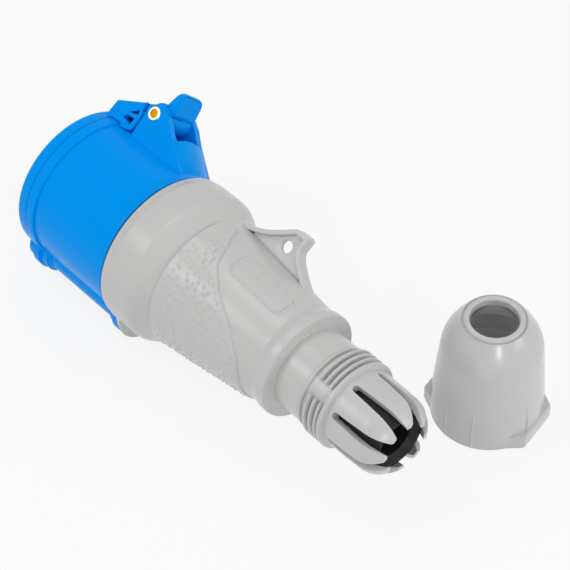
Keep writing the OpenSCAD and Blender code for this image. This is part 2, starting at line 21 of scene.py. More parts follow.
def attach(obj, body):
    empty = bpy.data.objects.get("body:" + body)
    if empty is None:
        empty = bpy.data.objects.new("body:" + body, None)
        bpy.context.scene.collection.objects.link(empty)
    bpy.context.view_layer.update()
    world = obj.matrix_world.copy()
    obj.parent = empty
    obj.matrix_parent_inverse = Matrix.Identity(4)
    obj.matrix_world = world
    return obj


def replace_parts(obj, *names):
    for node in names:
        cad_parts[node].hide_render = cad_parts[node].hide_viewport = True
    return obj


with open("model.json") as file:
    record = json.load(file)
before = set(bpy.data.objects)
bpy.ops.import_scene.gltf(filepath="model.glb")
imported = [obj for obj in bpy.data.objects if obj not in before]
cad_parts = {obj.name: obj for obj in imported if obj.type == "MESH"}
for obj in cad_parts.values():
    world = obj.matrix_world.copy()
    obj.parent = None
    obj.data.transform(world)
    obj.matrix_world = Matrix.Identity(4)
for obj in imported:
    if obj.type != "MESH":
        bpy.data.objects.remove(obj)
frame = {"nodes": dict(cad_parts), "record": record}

LOG = logging.getLogger("socket_scene")
MM = 0.001
HINGE = next(j for j in frame["record"]["behaviour"]["joints"] if j["name"] == "lid_hinge")
# The hinge pin's distance behind the lid edge and above the socket's axis, in millimetres.
HINGE_X, HINGE_Z = 19.05, 34.7


class Body(Enum):
    """The two rigid bodies of the socket."""

    SOCKET = "socket"
    LID = "lid"


class Slot(Enum):
    """The finishes that the record names."""

    BLUE = "blue_plastic"
    GREY = "grey_plastic"
    NUT = "nut_plastic"
    RUBBER = "black_rubber"
    INSERT = "insert_plastic"
    BRASS = "brass"
    CONTACT = "contact_brass"
    SPRING = "spring_steel"
    PLATED = "plated_steel"


@dataclass(frozen=True)
class SocketAxes:
    """Where the socket lies in the row frame.

    Attributes:
        origin: the middle of the lid edge, in metres.
        rows: the socket's x, y and z directions as the rows of a matrix.
    """

    origin: np.ndarray
    rows: np.ndarray

    @classmethod
    def from_record(cls, record: dict) -> "SocketAxes":
        """Reads the axes from the hinge joint and the cable entry.

        Args:
            record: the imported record.

        Returns:
            The socket's axes in the row frame.
        """
        entry = next(m for m in record["mounts"] if m["name"] == "cable_entry")
        ex, ey = np.array(entry["axis"], float), np.array(HINGE["axis"], float)
        ex, ey = ex / np.linalg.norm(ex), ey / np.linalg.norm(ey)
        ez = np.cross(ex, ey)
        origin = np.array(HINGE["pos_m"], float) - MM * (HINGE_X * ex + HINGE_Z * ez)
        return cls(origin, np.stack([ex, ey, ez]))

    def place(self, points: np.ndarray) -> np.ndarray:
        """Puts points given in millimetres in the socket's axes into the row frame, in metres."""
        return self.origin + MM * np.asarray(points) @ self.rows


@dataclass(frozen=True)
class UprightAxes:
    """Axes of a piece that stands upright on the table, with its foot at centre."""

    centre: tuple[float, float]

    def place(self, points: np.ndarray) -> np.ndarray:
        """Puts points given in millimetres from the foot of the piece into the row frame, in metres."""
        return np.array([self.centre[0], self.centre[1], 0.0]) + MM * np.asarray(points)


@dataclass
class Patch:
    """One grid of points, rows by columns by three, that may close on itself either way."""

    points: np.ndarray
    wrap_rows: bool = False
    wrap_cols: bool = False

    def quads(self, start: int) -> np.ndarray:
        """Lists the patch's four sided faces, each joining a point to its next row and column.

        Args:
            start: the index of the patch's first point in the mesh.

        Returns:
            An array of point indices, one row per face.
        """
        rows, cols = self.points.shape[:2]
        index = start + np.arange(rows * cols).reshape(rows, cols)
        index = np.vstack([index, index[:1]]) if self.wrap_rows else index
        index = np.hstack([index, index[:, :1]]) if self.wrap_cols else index
        corners = (index[:-1, :-1], index[:-1, 1:], index[1:, 1:], index[1:, :-1])
        return np.stack(corners, -1).reshape(-1, 4)


def capped(points: np.ndarray) -> np.ndarray:
    """Closes both ends of a tube by one more ring at each end, drawn together at that ring's middle.

    Args:
        points: the tube, rings by points by three.

    Returns:
        The tube with its two end rings.
    """
    first = np.broadcast_to(points[:1].mean(1, keepdims=True), points[:1].shape)
    last = np.broadcast_to(points[-1:].mean(1, keepdims=True), points[-1:].shape)
    return np.concatenate([first, points, last])


def soften(
    corners: np.ndarray, reach: np.ndarray | float, steps: int = 5, closed: bool = True
) -> np.ndarray:
    """Rounds the corners of an outline.

    Each corner C becomes the curve (1-u)^2 A + 2u(1-u) C + u^2 B, where A and B lie on the two edges at the
    reach from C, or at 0.45 of a shorter edge.

    Args:
        corners: the outline's corners, one per row.
        reach: how far along its edges each corner is rounded.
        steps: spans on each rounded corner.
        closed: whether the outline's last corner joins its first.

    Returns:
        The rounded outline, one point per row.
    """
    most, shortest, same = 0.45, 1e-9, 1e-6
    c = np.asarray(corners, float)
    into, out = c - np.roll(c, 1, 0), np.roll(c, -1, 0) - c
    length_in = np.maximum(np.linalg.norm(into, axis=1, keepdims=True), shortest)
    length_out = np.maximum(np.linalg.norm(out, axis=1, keepdims=True), shortest)
    wanted = np.broadcast_to(np.asarray(reach, float), (len(c),))[:, None]
    t = np.minimum(wanted, most * np.minimum(length_in, length_out))
    if not closed:
        t[[0, -1]] = 0.0
    a, b = c - into / length_in * t, c + out / length_out * t
    u = np.linspace(0.0, 1.0, steps + 1)[None, :, None]
    curve = (1 - u) ** 2 * a[:, None] + 2 * u * (1 - u) * c[:, None] + u**2 * b[:, None]
    flat = curve.reshape(-1, c.shape[1])
    keep = np.r_[True, np.linalg.norm(np.diff(flat, axis=0), axis=1) > same]
    return flat[keep]


def densify(points: np.ndarray, step: float, closed: bool = False) -> np.ndarray:
    """Adds points to a line so that none of its gaps is longer than a step, and keeps its own points.

    Args:
        points: the line's points, one per row.
        step: the longest gap.
        closed: whether the line's last point joins its first.

    Returns:
        The finer line, without a second copy of its first point.
    """
    closest = 0.02 * step
    p = np.vstack([points, points[:1]]) if closed else np.asarray(points, float)
    s = np.r_[0.0, np.cumsum(np.linalg.norm(np.diff(p, axis=0), axis=1))]
    wanted = np.linspace(0.0, s[-1], max(2, int(s[-1] / step) + 1))
    fine = np.union1d(np.round(s, 6), np.round(wanted, 6))
    fine = fine[np.r_[True, np.diff(fine) > closest]]
    out = np.stack([np.interp(fine, s, p[:, k]) for k in range(p.shape[1])], 1)
    return out[:-1] if closed else out


def smooth_step(x: np.ndarray, x0: float, x1: float) -> np.ndarray:
    """Rises from 0 at x0 to 1 at x1 as 3t^2 - 2t^3."""
    t = np.clip((x - x0) / (x1 - x0), 0.0, 1.0)
    return t * t * (3.0 - 2.0 * t)


def unit(vectors: np.ndarray) -> np.ndarray:
    """Scales each row to a length of 1."""
    return vectors / np.linalg.norm(vectors, axis=1, keepdims=True)


def around(x: np.ndarray, r: np.ndarray, angle: np.ndarray) -> np.ndarray:
    """Places points round the socket axis: x, r and angle a go to (x, -r sin a, r cos a)."""
    x, r, angle = np.broadcast_arrays(x, r, angle)
    return np.stack([x, -r * np.sin(angle), r * np.cos(angle)], -1)


def cosine_step(x0: float, r0: float, x1: float, r1: float, count: int) -> np.ndarray:
    """A smooth step in a profile, with r going from r0 to r1 as half a cosine."""
    t = np.linspace(0.0, 1.0, count)
    return np.stack([x0 + (x1 - x0) * t, r0 + (r1 - r0) * (1 - np.cos(np.pi * t)) / 2], 1)


def quarter(x: float, r: float, rad: float, a0: float, a1: float, count: int) -> np.ndarray:
    """Part of a circle in a profile, from angle a0 to a1 in degrees, from the r direction towards x."""
    a = np.radians(np.linspace(a0, a1, count))
    return np.stack([x + rad * np.sin(a), r + rad * np.cos(a)], 1)


def hashed(cells: np.ndarray, salt: float) -> np.ndarray:
    """A fixed scatter from 0 to 1 for whole-number cells: the fraction of a large sine of a weighted sum."""
    mixed = np.sin(cells[..., 0] * 127.1 + cells[..., 1] * 311.7 + salt * 74.7) * 43758.5453
    return mixed - np.floor(mixed)


def colour(red: int, green: int, blue: int) -> tuple[float, float, float, float]:
    """Turns a display colour into the linear colour that a shader takes, by the standard display curve.

    Args:
        red: the display's red, 0 to 255.
        green: the display's green, 0 to 255.
        blue: the display's blue, 0 to 255.

    Returns:
        The linear colour with an alpha of 1.
    """
    c = np.array([red, green, blue]) / 255.0
    lin = np.where(c <= 0.04045, c / 12.92, ((c + 0.055) / 1.055) ** 2.4)
    return (float(lin[0]), float(lin[1]), float(lin[2]), 1.0)


class ShaderGroups:
    """Shader node groups that several finishes share."""

    @staticmethod
    def _new(name: str, inputs: dict[str, str], outputs: dict[str, str]) -> bpy.types.NodeTree:
        """Makes an empty node group.

        Args:
            name: the group's name.
            inputs: socket types by name.
            outputs: socket types by name.

        Returns:
            The new group with its input and output nodes.
        """
        tree = bpy.data.node_groups.new(name, "ShaderNodeTree")
        for key, kind in inputs.items():
            tree.interface.new_socket(key, in_out="INPUT", socket_type=kind)
        for key, kind in outputs.items():
            tree.interface.new_socket(key, in_out="OUTPUT", socket_type=kind)
        tree.nodes.new("NodeGroupInput").name = "in"
        tree.nodes.new("NodeGroupOutput").name = "out"
        return tree

    @classmethod
    def moulded_skin(cls) -> bpy.types.NodeTree:
        """Fine mould texture with faint patches of tone and gloss.

        Returns:
            A group from Vector, Colour, Tone, Grain, Smooth and Rough to Colour, Roughness and Height.
        """
        found = bpy.data.node_groups.get("moulded_skin")
        if found:
            return found
        number, vector, hue = "NodeSocketFloat", "NodeSocketVector", "NodeSocketColor"
        inputs = {"Vector": vector, "Colour": hue, "Tone": number, "Grain": number}
        inputs |= {"Smooth": number, "Rough": number}
        outputs = {"Colour": hue, "Roughness": number, "Height": number}
        tree = cls._new("moulded_skin", inputs, outputs)
        n, link = tree.nodes, tree.links.new
        source, sink = n["in"], n["out"]
        fine_at = n.new("ShaderNodeVectorMath")
        fine_at.operation = "SCALE"
        link(source.outputs["Vector"], fine_at.inputs[0])
        link(source.outputs["Grain"], fine_at.inputs["Scale"])
        fine = n.new("ShaderNodeTexNoise")
        fine.inputs["Scale"].default_value = 1.0
        fine.inputs["Detail"].default_value = 2.0
        link(fine_at.outputs[0], fine.inputs["Vector"])
        broad = n.new("ShaderNodeTexNoise")
        broad.inputs["Scale"].default_value = 55.0
        broad.inputs["Detail"].default_value = 8.0
        broad.inputs["Roughness"].default_value = 0.7
        link(source.outputs["Vector"], broad.inputs["Vector"])
        rough = n.new("ShaderNodeMapRange")
        rough.inputs["From Min"].default_value = 0.1
        rough.inputs["From Max"].default_value = 0.9
        link(broad.outputs["Fac"], rough.inputs["Value"])
        link(source.outputs["Smooth"], rough.inputs["To Min"])
        link(source.outputs["Rough"], rough.inputs["To Max"])
        centred = n.new("ShaderNodeMath")
        centred.operation = "SUBTRACT"
        centred.inputs[1].default_value = 0.5
        link(broad.outputs["Fac"], centred.inputs[0])
        gain = n.new("ShaderNodeMath")
        gain.operation = "MULTIPLY_ADD"
        gain.inputs[2].default_value = 1.0
        link(centred.outputs[0], gain.inputs[0])
        link(source.outputs["Tone"], gain.inputs[1])
        toned = n.new("ShaderNodeVectorMath")
        toned.operation = "SCALE"
        link(source.outputs["Colour"], toned.inputs[0])
        link(gain.outputs[0], toned.inputs["Scale"])
        link(toned.outputs[0], sink.inputs["Colour"])
        link(rough.outputs[0], sink.inputs["Roughness"])
        link(fine.outputs["Fac"], sink.inputs["Height"])
        return tree


@dataclass(frozen=True)
class Finish:
    """A moulded, rubber or metal finish.

    Attributes:
        name: the material's name.
        slot: the record's finish that it belongs to.
        shade: its colour as displayed, 0 to 255.
        smooth: roughness of its glossiest patches.
        rough: roughness of its dullest patches.
        tone: how far its colour wanders.
        grain: mould grain, in cells per metre.
        depth: height of the grain, in metres.
        specular: strength of its clear reflections.
        tint: colour of those reflections, 0 to 255.
        metallic: 1 for a bare metal.
    """

    name: str
    slot: Slot
    shade: tuple[int, int, int]
    smooth: float
    rough: float
    tone: float
    grain: float
    depth: float = 0.00001
    specular: float = 0.5
    tint: tuple[int, int, int] = (255, 255, 255)
    metallic: float = 0.0

    def material(self) -> bpy.types.Material:
        """Builds the material once and gives the same one after that.

        Returns:
            A Principled material whose colour, roughness and bump come from the shared skin group.
        """
        found = bpy.data.materials.get(self.name)
        if found:
            return found
        mat = bpy.data.materials.new(self.name)
        mat.use_nodes = True
        n, link = mat.node_tree.nodes, mat.node_tree.links.new
        shader = n["Principled BSDF"]
        shader.inputs["Metallic"].default_value = self.metallic
        shader.inputs["Specular IOR Level"].default_value = self.specular
        shader.inputs["Specular Tint"].default_value = colour(*self.tint)
        where = n.new("ShaderNodeTexCoord")
        skin = n.new("ShaderNodeGroup")
        skin.name = "skin"
        skin.node_tree = ShaderGroups.moulded_skin()
        skin.inputs["Colour"].default_value = colour(*self.shade)
        skin.inputs["Tone"].default_value = self.tone
        skin.inputs["Grain"].default_value = self.grain
        skin.inputs["Smooth"].default_value = self.smooth
        skin.inputs["Rough"].default_value = self.rough
        link(where.outputs["Object"], skin.inputs["Vector"])
        bump = n.new("ShaderNodeBump")
        bump.inputs["Strength"].default_value = 1.0
        bump.inputs["Distance"].default_value = self.depth
        link(skin.outputs["Height"], bump.inputs["Height"])
        link(skin.outputs["Colour"], shader.inputs["Base Color"])
        link(skin.outputs["Roughness"], shader.inputs["Roughness"])
        link(bump.outputs["Normal"], shader.inputs["Normal"])
        return mat


@dataclass(frozen=True)
class RivetFinish(Finish):
    """A riveted pin end: the hollow keeps the plain brass colour, and the rim is pale cream, its brass with
    its highlight painted in.

    Attributes:
        rim_highlight_shade: colour of the rim as displayed, 0 to 255, a painted highlight in pale cream.
        rim_r: radius where the hollow ends and the rim starts, in metres.
        blend: half the width over which the two colours meet, in metres.
        centre: a point on the pin's axis, in metres.
        axis: the pin's direction.
    """

    rim_highlight_shade: tuple[int, int, int] = (255, 247, 216)
    rim_r: float = 0.00145
    blend: float = 0.0001
    centre: tuple[float, ...] = (0.0, 0.0, 0.0)
    axis: tuple[float, ...] = (0.0, 1.0, 0.0)

    def material(self) -> bpy.types.Material:
        """Builds the plain finish and mixes in the rim's painted highlight colour by the distance from the
        pin's axis.

        Returns:
            The material with the mask between its skin group and its shader.
        """
        found = bpy.data.materials.get(self.name)
        if found:
            return found
        mat = super().material()
        n, link = mat.node_tree.nodes, mat.node_tree.links.new
        where = n.new("ShaderNodeTexCoord")
        arm, cross, length = (n.new("ShaderNodeVectorMath") for _ in range(3))
        arm.operation, cross.operation, length.operation = "SUBTRACT", "CROSS_PRODUCT", "LENGTH"
        arm.inputs[1].default_value = self.centre
        cross.inputs[1].default_value = self.axis
        link(where.outputs["Object"], arm.inputs[0])
        link(arm.outputs[0], cross.inputs[0])
        link(cross.outputs[0], length.inputs[0])
        mask = n.new("ShaderNodeMapRange")
        mask.inputs["From Min"].default_value = self.rim_r - self.blend
        mask.inputs["From Max"].default_value = self.rim_r + self.blend
        link(length.outputs["Value"], mask.inputs["Value"])
        mix = n.new("ShaderNodeMix")
        mix.data_type = "RGBA"
        # The colour sockets of a Mix node share their names with its other sockets, so they go by number.
        share, hollow, rim, mixed = mix.inputs[0], mix.inputs[6], mix.inputs[7], mix.outputs[2]
        # The rim's pale cream colour is a painted highlight on the brass rim.
        rim.default_value = colour(*self.rim_highlight_shade)
        link(mask.outputs[0], share)
        link(n["skin"].outputs["Colour"], hollow)
        link(mixed, n["Principled BSDF"].inputs["Base Color"])
        return mat


FINISHES: dict[Slot, Finish] = {
    finish.slot: finish
    for finish in (
        Finish("blue_polyamide", Slot.BLUE, shade=(0, 153, 246), smooth=0.24, rough=0.32, tone=0.015,
               grain=2600.0, specular=0.07, tint=(40, 175, 255)),
        Finish("grey_polyamide", Slot.GREY, shade=(199, 198, 197), smooth=0.24, rough=0.32, tone=0.008,
               grain=2600.0, specular=0.42),
        Finish("nut_polyamide", Slot.NUT, shade=(198, 196, 196), smooth=0.19, rough=0.23, tone=0.008,
               grain=2600.0),
        Finish("soft_rubber", Slot.RUBBER, shade=(31, 29, 30), smooth=0.42, rough=0.56, tone=0.20,
               grain=3400.0, depth=0.00003, specular=0.22),
        Finish("insert_black", Slot.INSERT, shade=(44, 44, 47), smooth=0.38, rough=0.50, tone=0.10,
               grain=2800.0, depth=0.00002),
        # The rivet's rim colour is a painted highlight on its brass.
        RivetFinish("rivet_brass", Slot.BRASS, shade=(180, 128, 12), smooth=0.20, rough=0.30, tone=0.10,
                    grain=1800.0, metallic=1.0, centre=tuple(HINGE["pos_m"]), axis=tuple(HINGE["axis"])),
        Finish("turned_brass", Slot.CONTACT, shade=(214, 176, 92), smooth=0.22, rough=0.36, tone=0.12,
               grain=1800.0, metallic=1.0),
        Finish("spring_wire", Slot.SPRING, shade=(184, 184, 186), smooth=0.25, rough=0.38, tone=0.10,
               grain=2400.0, metallic=1.0),
        Finish("zinc_plate", Slot.PLATED, shade=(205, 206, 210), smooth=0.22, rough=0.36, tone=0.10,
               grain=1800.0, metallic=1.0),
    )
}


def make_piece(
    name: str,
    patches: list[Patch],
    axes: SocketAxes | UprightAxes,
    slot: Slot,
    body: Body = Body.SOCKET,
    sharp: float = 40.0,
) -> bpy.types.Object:
    """Turns patches into one closed, smooth shaded piece that rides a body.

    Args:
        name: the piece's name.
        patches: its grids, in millimetres in its own axes.
        axes: the axes that place it.
        slot: the finish that it takes.
        body: the body that it rides.
        sharp: edges that turn by more than this many degrees stay sharp.

    Returns:
        The new object, at the origin with its place in its mesh.
    """
    weld = 1e-6
    points = np.concatenate([axes.place(p.points.reshape(-1, 3)) for p in patches])
    starts = np.cumsum([0] + [p.points.shape[0] * p.points.shape[1] for p in patches])
    faces = np.concatenate([p.quads(s) for p, s in zip(patches, starts)])
    mesh = bpy.data.meshes.new(name)
    mesh.from_pydata(points, [], faces)
    bm = bmesh.new()
    bm.from_mesh(mesh)
    bmesh.ops.remove_doubles(bm, verts=bm.verts, dist=weld)
    bmesh.ops.recalc_face_normals(bm, faces=bm.faces)
    bm.to_mesh(mesh)
    bm.free()
    mesh.polygons.foreach_set("use_smooth", np.ones(len(mesh.polygons), bool))
    mesh.set_sharp_from_angle(angle=math.radians(sharp))
    mesh.materials.append(FINISHES[slot].material())
    piece = bpy.data.objects.new(name, mesh)
    bpy.context.scene.collection.objects.link(piece)
    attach(piece, body.value)
    LOG.info("piece %s: %d faces", name, len(mesh.polygons))
    return piece


@dataclass
class Handle:
    """The grey handle: collar, grip cone with its pebbled pad, label frame, hanging eye and latch lobe.

    Sizes are in millimetres. A name that ends in _x is a place along the socket, and one in _r a radius.
    """

    axes: SocketAxes
    joint_x: float = 45.0
    lip_r: float = 26.65
    lip_round: float = 0.5
    step_r: float = 27.56
    notch_length: float = 3.94
    notch_r: float = 25.95
    notch_turn: float = math.radians(12.2)
    collar_x: float = 51.0
    collar_end_x: float = 56.4
    collar_r: float = 27.6
    grip_front_x: float = 66.4
    grip_front_r: float = 23.15
    grip_rear_x: float = 108.6
    grip_rear_r: float = 18.3
    rim_x: float = 112.4
    rim_r: float = 19.05
    rim_round: float = 0.5
    rear_x: float = 114.8
    neck_r: float = 14.5
    neck_fillet: float = 0.4
    thread_x: float = 127.0
    thread_r: float = 15.8
    root_depth: float = 0.55
    finger_x: float = 138.6
    spigot_end_x: float = 54.0
    spigot_r: float = 24.4
    cable_r: float = 9.0
    seal_x: float = 124.0
    seal_r: float = 10.8
    pad_rise: float = 0.85
    pad_border: float = 0.7
    pad_wall: float = 0.6
    pad_rows: int = 156
    pad_columns: int = 310
    pebble_pitch: float = 2.1
    pebble_rise: float = 0.46
    label_x: tuple[float, float] = (82.0, 105.2)
    label_half: float = 4.2
    label_round: float = 2.2
    label_turn: float = math.radians(45.0)
    eye_x: float = 84.7
    eye_z: float = 25.9
    eye_hole_r: float = 2.1
    eye_half: float = 0.8
    lobe_x: tuple[float, float] = (48.95, 51.8)
    lobe_z: float = -18.4
    lobe_r: float = 11.4
    lobe_round: float = 0.35

    def grip_radius(self, x: np.ndarray | float) -> np.ndarray:
        """Radius of the grip cone, straight from its front to its rear radius."""
        t = (np.asarray(x) - self.grip_front_x) / (self.grip_rear_x - self.grip_front_x)
        return self.grip_front_r + (self.grip_rear_r - self.grip_front_r) * t

    def grip_line(self) -> np.ndarray:
        """The handle's outside as a profile: lip, step, collar, shoulder, cone, rear rim and neck fillet.

        Returns:
            Pairs of x and radius from the joint to the neck.
        """
        joint, lip, notch = self.joint_x, self.lip_round, self.joint_x + self.notch_length
        cone_end_x = self.grip_rear_x - 1.0
        foot_r = self.neck_r + self.neck_fillet
        return np.vstack([
            [[joint, self.spigot_r], [joint, self.lip_r]],
            quarter(joint + lip, self.lip_r, lip, -80, -10, 6),
            [[joint + 2.55, 27.2], [joint + 2.7, 27.3], [joint + 2.9, 27.5], [joint + 3.1, 27.55]],
            [[notch - 0.01, self.step_r], [notch + 0.01, self.step_r]],
            [[self.collar_x, self.collar_r], [self.collar_end_x, self.collar_r]],
            cosine_step(self.collar_end_x + 1.0, self.collar_r - 0.04,
                        self.grip_front_x - 0.4, self.grip_front_r + 0.05, 28),
            [[cone_end_x, float(self.grip_radius(cone_end_x))]],
            cosine_step(self.grip_rear_x - 0.2, self.grip_rear_r - 0.02, self.rim_x, self.rim_r, 12),
            quarter(self.rear_x - self.rim_round, self.rim_r - self.rim_round, self.rim_round, 0, 90, 7),
            [[self.rear_x, foot_r]],
            quarter(self.rear_x + self.neck_fillet, foot_r, self.neck_fillet, -90, -180, 5),
        ])

    def gland_line(self) -> np.ndarray:
        """The neck, the bead before the thread, the thread's root and the ring behind it, as a profile.

        Returns:
            Pairs of x and radius from the neck to the fingers.
        """
        x, neck, root, ring = self.thread_x, self.neck_r, self.neck_r - self.root_depth, self.thread_r - 0.1
        bead = neck + 0.35
        corners = [
            [120, neck], [x - 0.9, neck], [x - 0.7, bead], [x, bead], [x + 0.35, root], [x + 8.2, root],
            [x + 8.8, ring], [x + 10, ring], [x + 10.3, root], [self.finger_x, root],
            [self.finger_x, self.seal_r]]
        return soften(np.array(corners), 0.16, 4, False)

    def inside_line(self) -> np.ndarray:
        """The seat of the cable seal, the cable's passage, the wiring room and the spigot's seat.

        Returns:
            Pairs of x and radius from the fingers back to the joint.
        """
        return np.array([
            [self.seal_x, self.seal_r], [self.seal_x, self.cable_r], [112, self.cable_r], [110.5, 11.5],
            [106, 15.8], [self.grip_front_x, 20.4], [58, 22.8], [self.spigot_end_x, 23.2],
            [self.spigot_end_x, self.spigot_r]])

    def shell(self) -> bpy.types.Object:
        """Carries the section round the axis and lowers the collar where the shell's tongue goes in.

        Returns:
            The handle's skin as a closed ring.
        """
        notch, gap = self.notch_turn, math.radians(0.2)
        rest = np.linspace(notch + gap, 2 * np.pi - notch - gap, 270)
        angles = np.pi + np.r_[np.linspace(-notch, notch, 16), rest]
        profile = np.vstack([self.grip_line(), self.gland_line(), self.inside_line()])
        x, r = profile[:, :1], profile[:, 1:2]
        in_notch = (np.abs(angles - np.pi) <= notch + gap / 2)[None, :]
        cut = in_notch & (x < self.joint_x + self.notch_length) & (r > self.notch_r)
        points = around(x, np.where(cut, self.notch_r, r), angles)
        return make_piece("handle_shell", [Patch(points, True, True)], self.axes, Slot.GREY)

    def pebbles(self, x: np.ndarray, arc: np.ndarray) -> np.ndarray:
        """Height of the pad's pebbles.

        One pebble stands at a scattered place in each cell of a square net. Its height is a dome,
        h (1 - (d/r)^2)^2 within its radius r, with h and r scattered too, and the tallest of the nearest
        nine counts. Places and radii are shares of the net's pitch.

        Args:
            x: distance along the socket of each point.
            arc: distance round the socket of each point.

        Returns:
            The height at each point.
        """
        scatter, smallest, spread, lowest = 0.36, 0.26, 0.10, 0.5
        place = np.stack([x, arc], -1) / self.pebble_pitch
        cell = np.floor(place)
        best = np.zeros(x.shape)
        for step in np.stack(np.meshgrid([-1, 0, 1], [-1, 0, 1]), -1).reshape(-1, 2):
            near = cell + step
            shift = 2.0 * np.stack([hashed(near, 1.0), hashed(near, 2.0)], -1) - 1.0
            spot = near + 0.5 + scatter * shift
            radius = smallest + spread * hashed(near, 3.0)
            height = self.pebble_rise * (lowest + (1.0 - lowest) * hashed(near, 4.0))
            d = np.linalg.norm(place - spot, axis=-1) / radius
            best = np.maximum(best, height * np.clip(1.0 - d**2, 0.0, 1.0) ** 2)
        return best

    def pad_edge(self) -> tuple[np.ndarray, np.ndarray]:
        """The pad's upper edge, smoothed over about 2 mm.

        Returns:
            Places along the socket, and the edge's angle from the top of the handle at each of them.
        """
        outline = np.array([
            [65.2, 19.4], [65.6, 20.3], [66.4, 20.9], [67.6, 21.2], [69.8, 21.2], [71, 20.8], [72, 20],
            [73.4, 18.4], [75.2, 16.5], [77, 13.3], [79, 10.5], [82.2, 7.8], [85.2, 5.2], [89, 2.8],
            [92.7, 0.3], [95.7, -2.1], [99, -5.4], [102.1, -8.7], [103.7, -12.7], [104.4, -18],
            [104.5, -18.4]])
        most, window = 0.99, np.hanning(9)
        x = np.linspace(outline[0, 0], outline[-1, 0], self.pad_rows)
        edge_z = np.pad(np.interp(x, outline[:, 0], outline[:, 1]), len(window) // 2, mode="edge")
        edge_z = np.convolve(edge_z, window / window.sum(), mode="valid")
        return x, np.arccos(np.clip(edge_z / self.grip_radius(x), -most, most))

    def grip_pad(self) -> bpy.types.Object:
        """The pebbled pad that wraps the underside of the grip.

        Rows go along x and columns from one edge of the pad round the underside to the other. The pad rises
        from below the cone's surface as sqrt(1 - (1 - d/w)^2), with d the distance from its edge and w the
        width of its rounded border, and carries pebbles that fade out towards the border.

        Returns:
            The pad, closed by a Solidify modifier.
        """
        sink, bed = 0.25, 0.10
        x, edge = self.pad_edge()
        r = self.grip_radius(x)
        u = np.linspace(-1.0, 1.0, self.pad_columns)
        angle = np.pi + u[None, :] * (np.pi - edge)[:, None]
        lean = np.gradient(edge, x) * r
        side = (1.0 - np.abs(u))[None, :] * ((np.pi - edge) * r / np.sqrt(1.0 + lean**2))[:, None]
        d = np.minimum(side, np.minimum(x - x[0], x[-1] - x)[:, None])
        rise = np.sqrt(1.0 - (1.0 - np.clip(d / self.pad_border, 0.0, 1.0)) ** 2)
        along = np.broadcast_to(x[:, None], angle.shape)
        bumps = self.pebbles(along, angle * r[:, None]) * smooth_step(d, 0.6, 1.5)
        height = r[:, None] - sink + (self.pad_rise + sink) * rise - bed + bumps
        points = around(along, height, angle)
        piece = make_piece("grip_pad", [Patch(points)], self.axes, Slot.GREY, sharp=80.0)
        wall = piece.modifiers.new("thickness", "SOLIDIFY")
        wall.thickness = self.pad_wall * MM
        wall.offset = -1.0
        return piece

    def on_cone(self, x: np.ndarray, across: np.ndarray, rise: np.ndarray, turn: float) -> np.ndarray:
        """Points at a rise above the grip cone, sideways by across from the line at angle turn."""
        r = self.grip_radius(x)
        return around(x, r + rise, turn + np.arcsin(np.clip(across / r, -1.0, 1.0)))

    def label_frame(self) -> bpy.types.Object:
        """The bare label frame: an oval section, carried round a rounded rectangle on the cone.

        Returns:
            The frame as a closed ring.
        """
        bar_half, bar_rise, bar_middle = 0.42, 0.32, 0.05
        (x0, x1), half = self.label_x, self.label_half
        corners = np.array([[x0, -half], [x1, -half], [x1, half], [x0, half]])
        path = densify(soften(corners, self.label_round, 8), 0.4, True)
        ahead = unit(np.roll(path, -1, 0) - np.roll(path, 1, 0))
        sideways = np.stack([ahead[:, 1], -ahead[:, 0]], 1)
        ring = np.linspace(0.0, 2 * np.pi, 16, endpoint=False)
        out, up = bar_half * np.cos(ring), bar_middle + bar_rise * np.sin(ring)
        x = path[:, :1] + sideways[:, :1] * out
        y = path[:, 1:] + sideways[:, 1:] * out
        points = self.on_cone(x, y, up, self.label_turn)
        return make_piece("label_frame", [Patch(points, True, True)], self.axes, Slot.GREY)

    def eye_border(self) -> bpy.types.Object:
        """The rim of the hanging eye: a rounded flat bar, carried along the rim's line.

        Returns:
            The rim, closed at both ends.
        """
        half_thick, half_wide, rounding = 0.85, 2.4, 0.45
        line = np.array([
            [65.6, 21.2], [67.8, 23.1], [72.4, 24.2], [77.0, 26.1], [81.6, 29.1], [85.5, 31.8],
            [90.2, 31.8], [89.6, 27.1], [92.0, 24.1], [95.3, 21.6], [98.6, 19.4], [101.5, 17.6]])
        reach = np.array([0, 1.2, 2.4, 2.4, 2.4, 0.35, 0.25, 1.6, 1.6, 2.0, 1.6, 0])
        path = densify(soften(line, reach, 6, False), 0.35)
        ahead = unit(np.gradient(path, axis=0))
        normal = np.stack([-ahead[:, 1], ahead[:, 0]], 1)
        corners = np.array([[-1, -1], [1, -1], [1, 1], [-1, 1]]) * np.array([half_thick, half_wide])
        section = soften(corners, rounding, 5)
        xz = path[:, None, :] + normal[:, None, :] * section[None, :, :1]
        y = np.broadcast_to(section[None, :, 1], xz.shape[:2])
        points = np.stack([xz[..., 0], y, xz[..., 1]], -1)
        return make_piece("hanging_eye_rim", [Patch(capped(points), False, True)], self.axes, Slot.GREY)

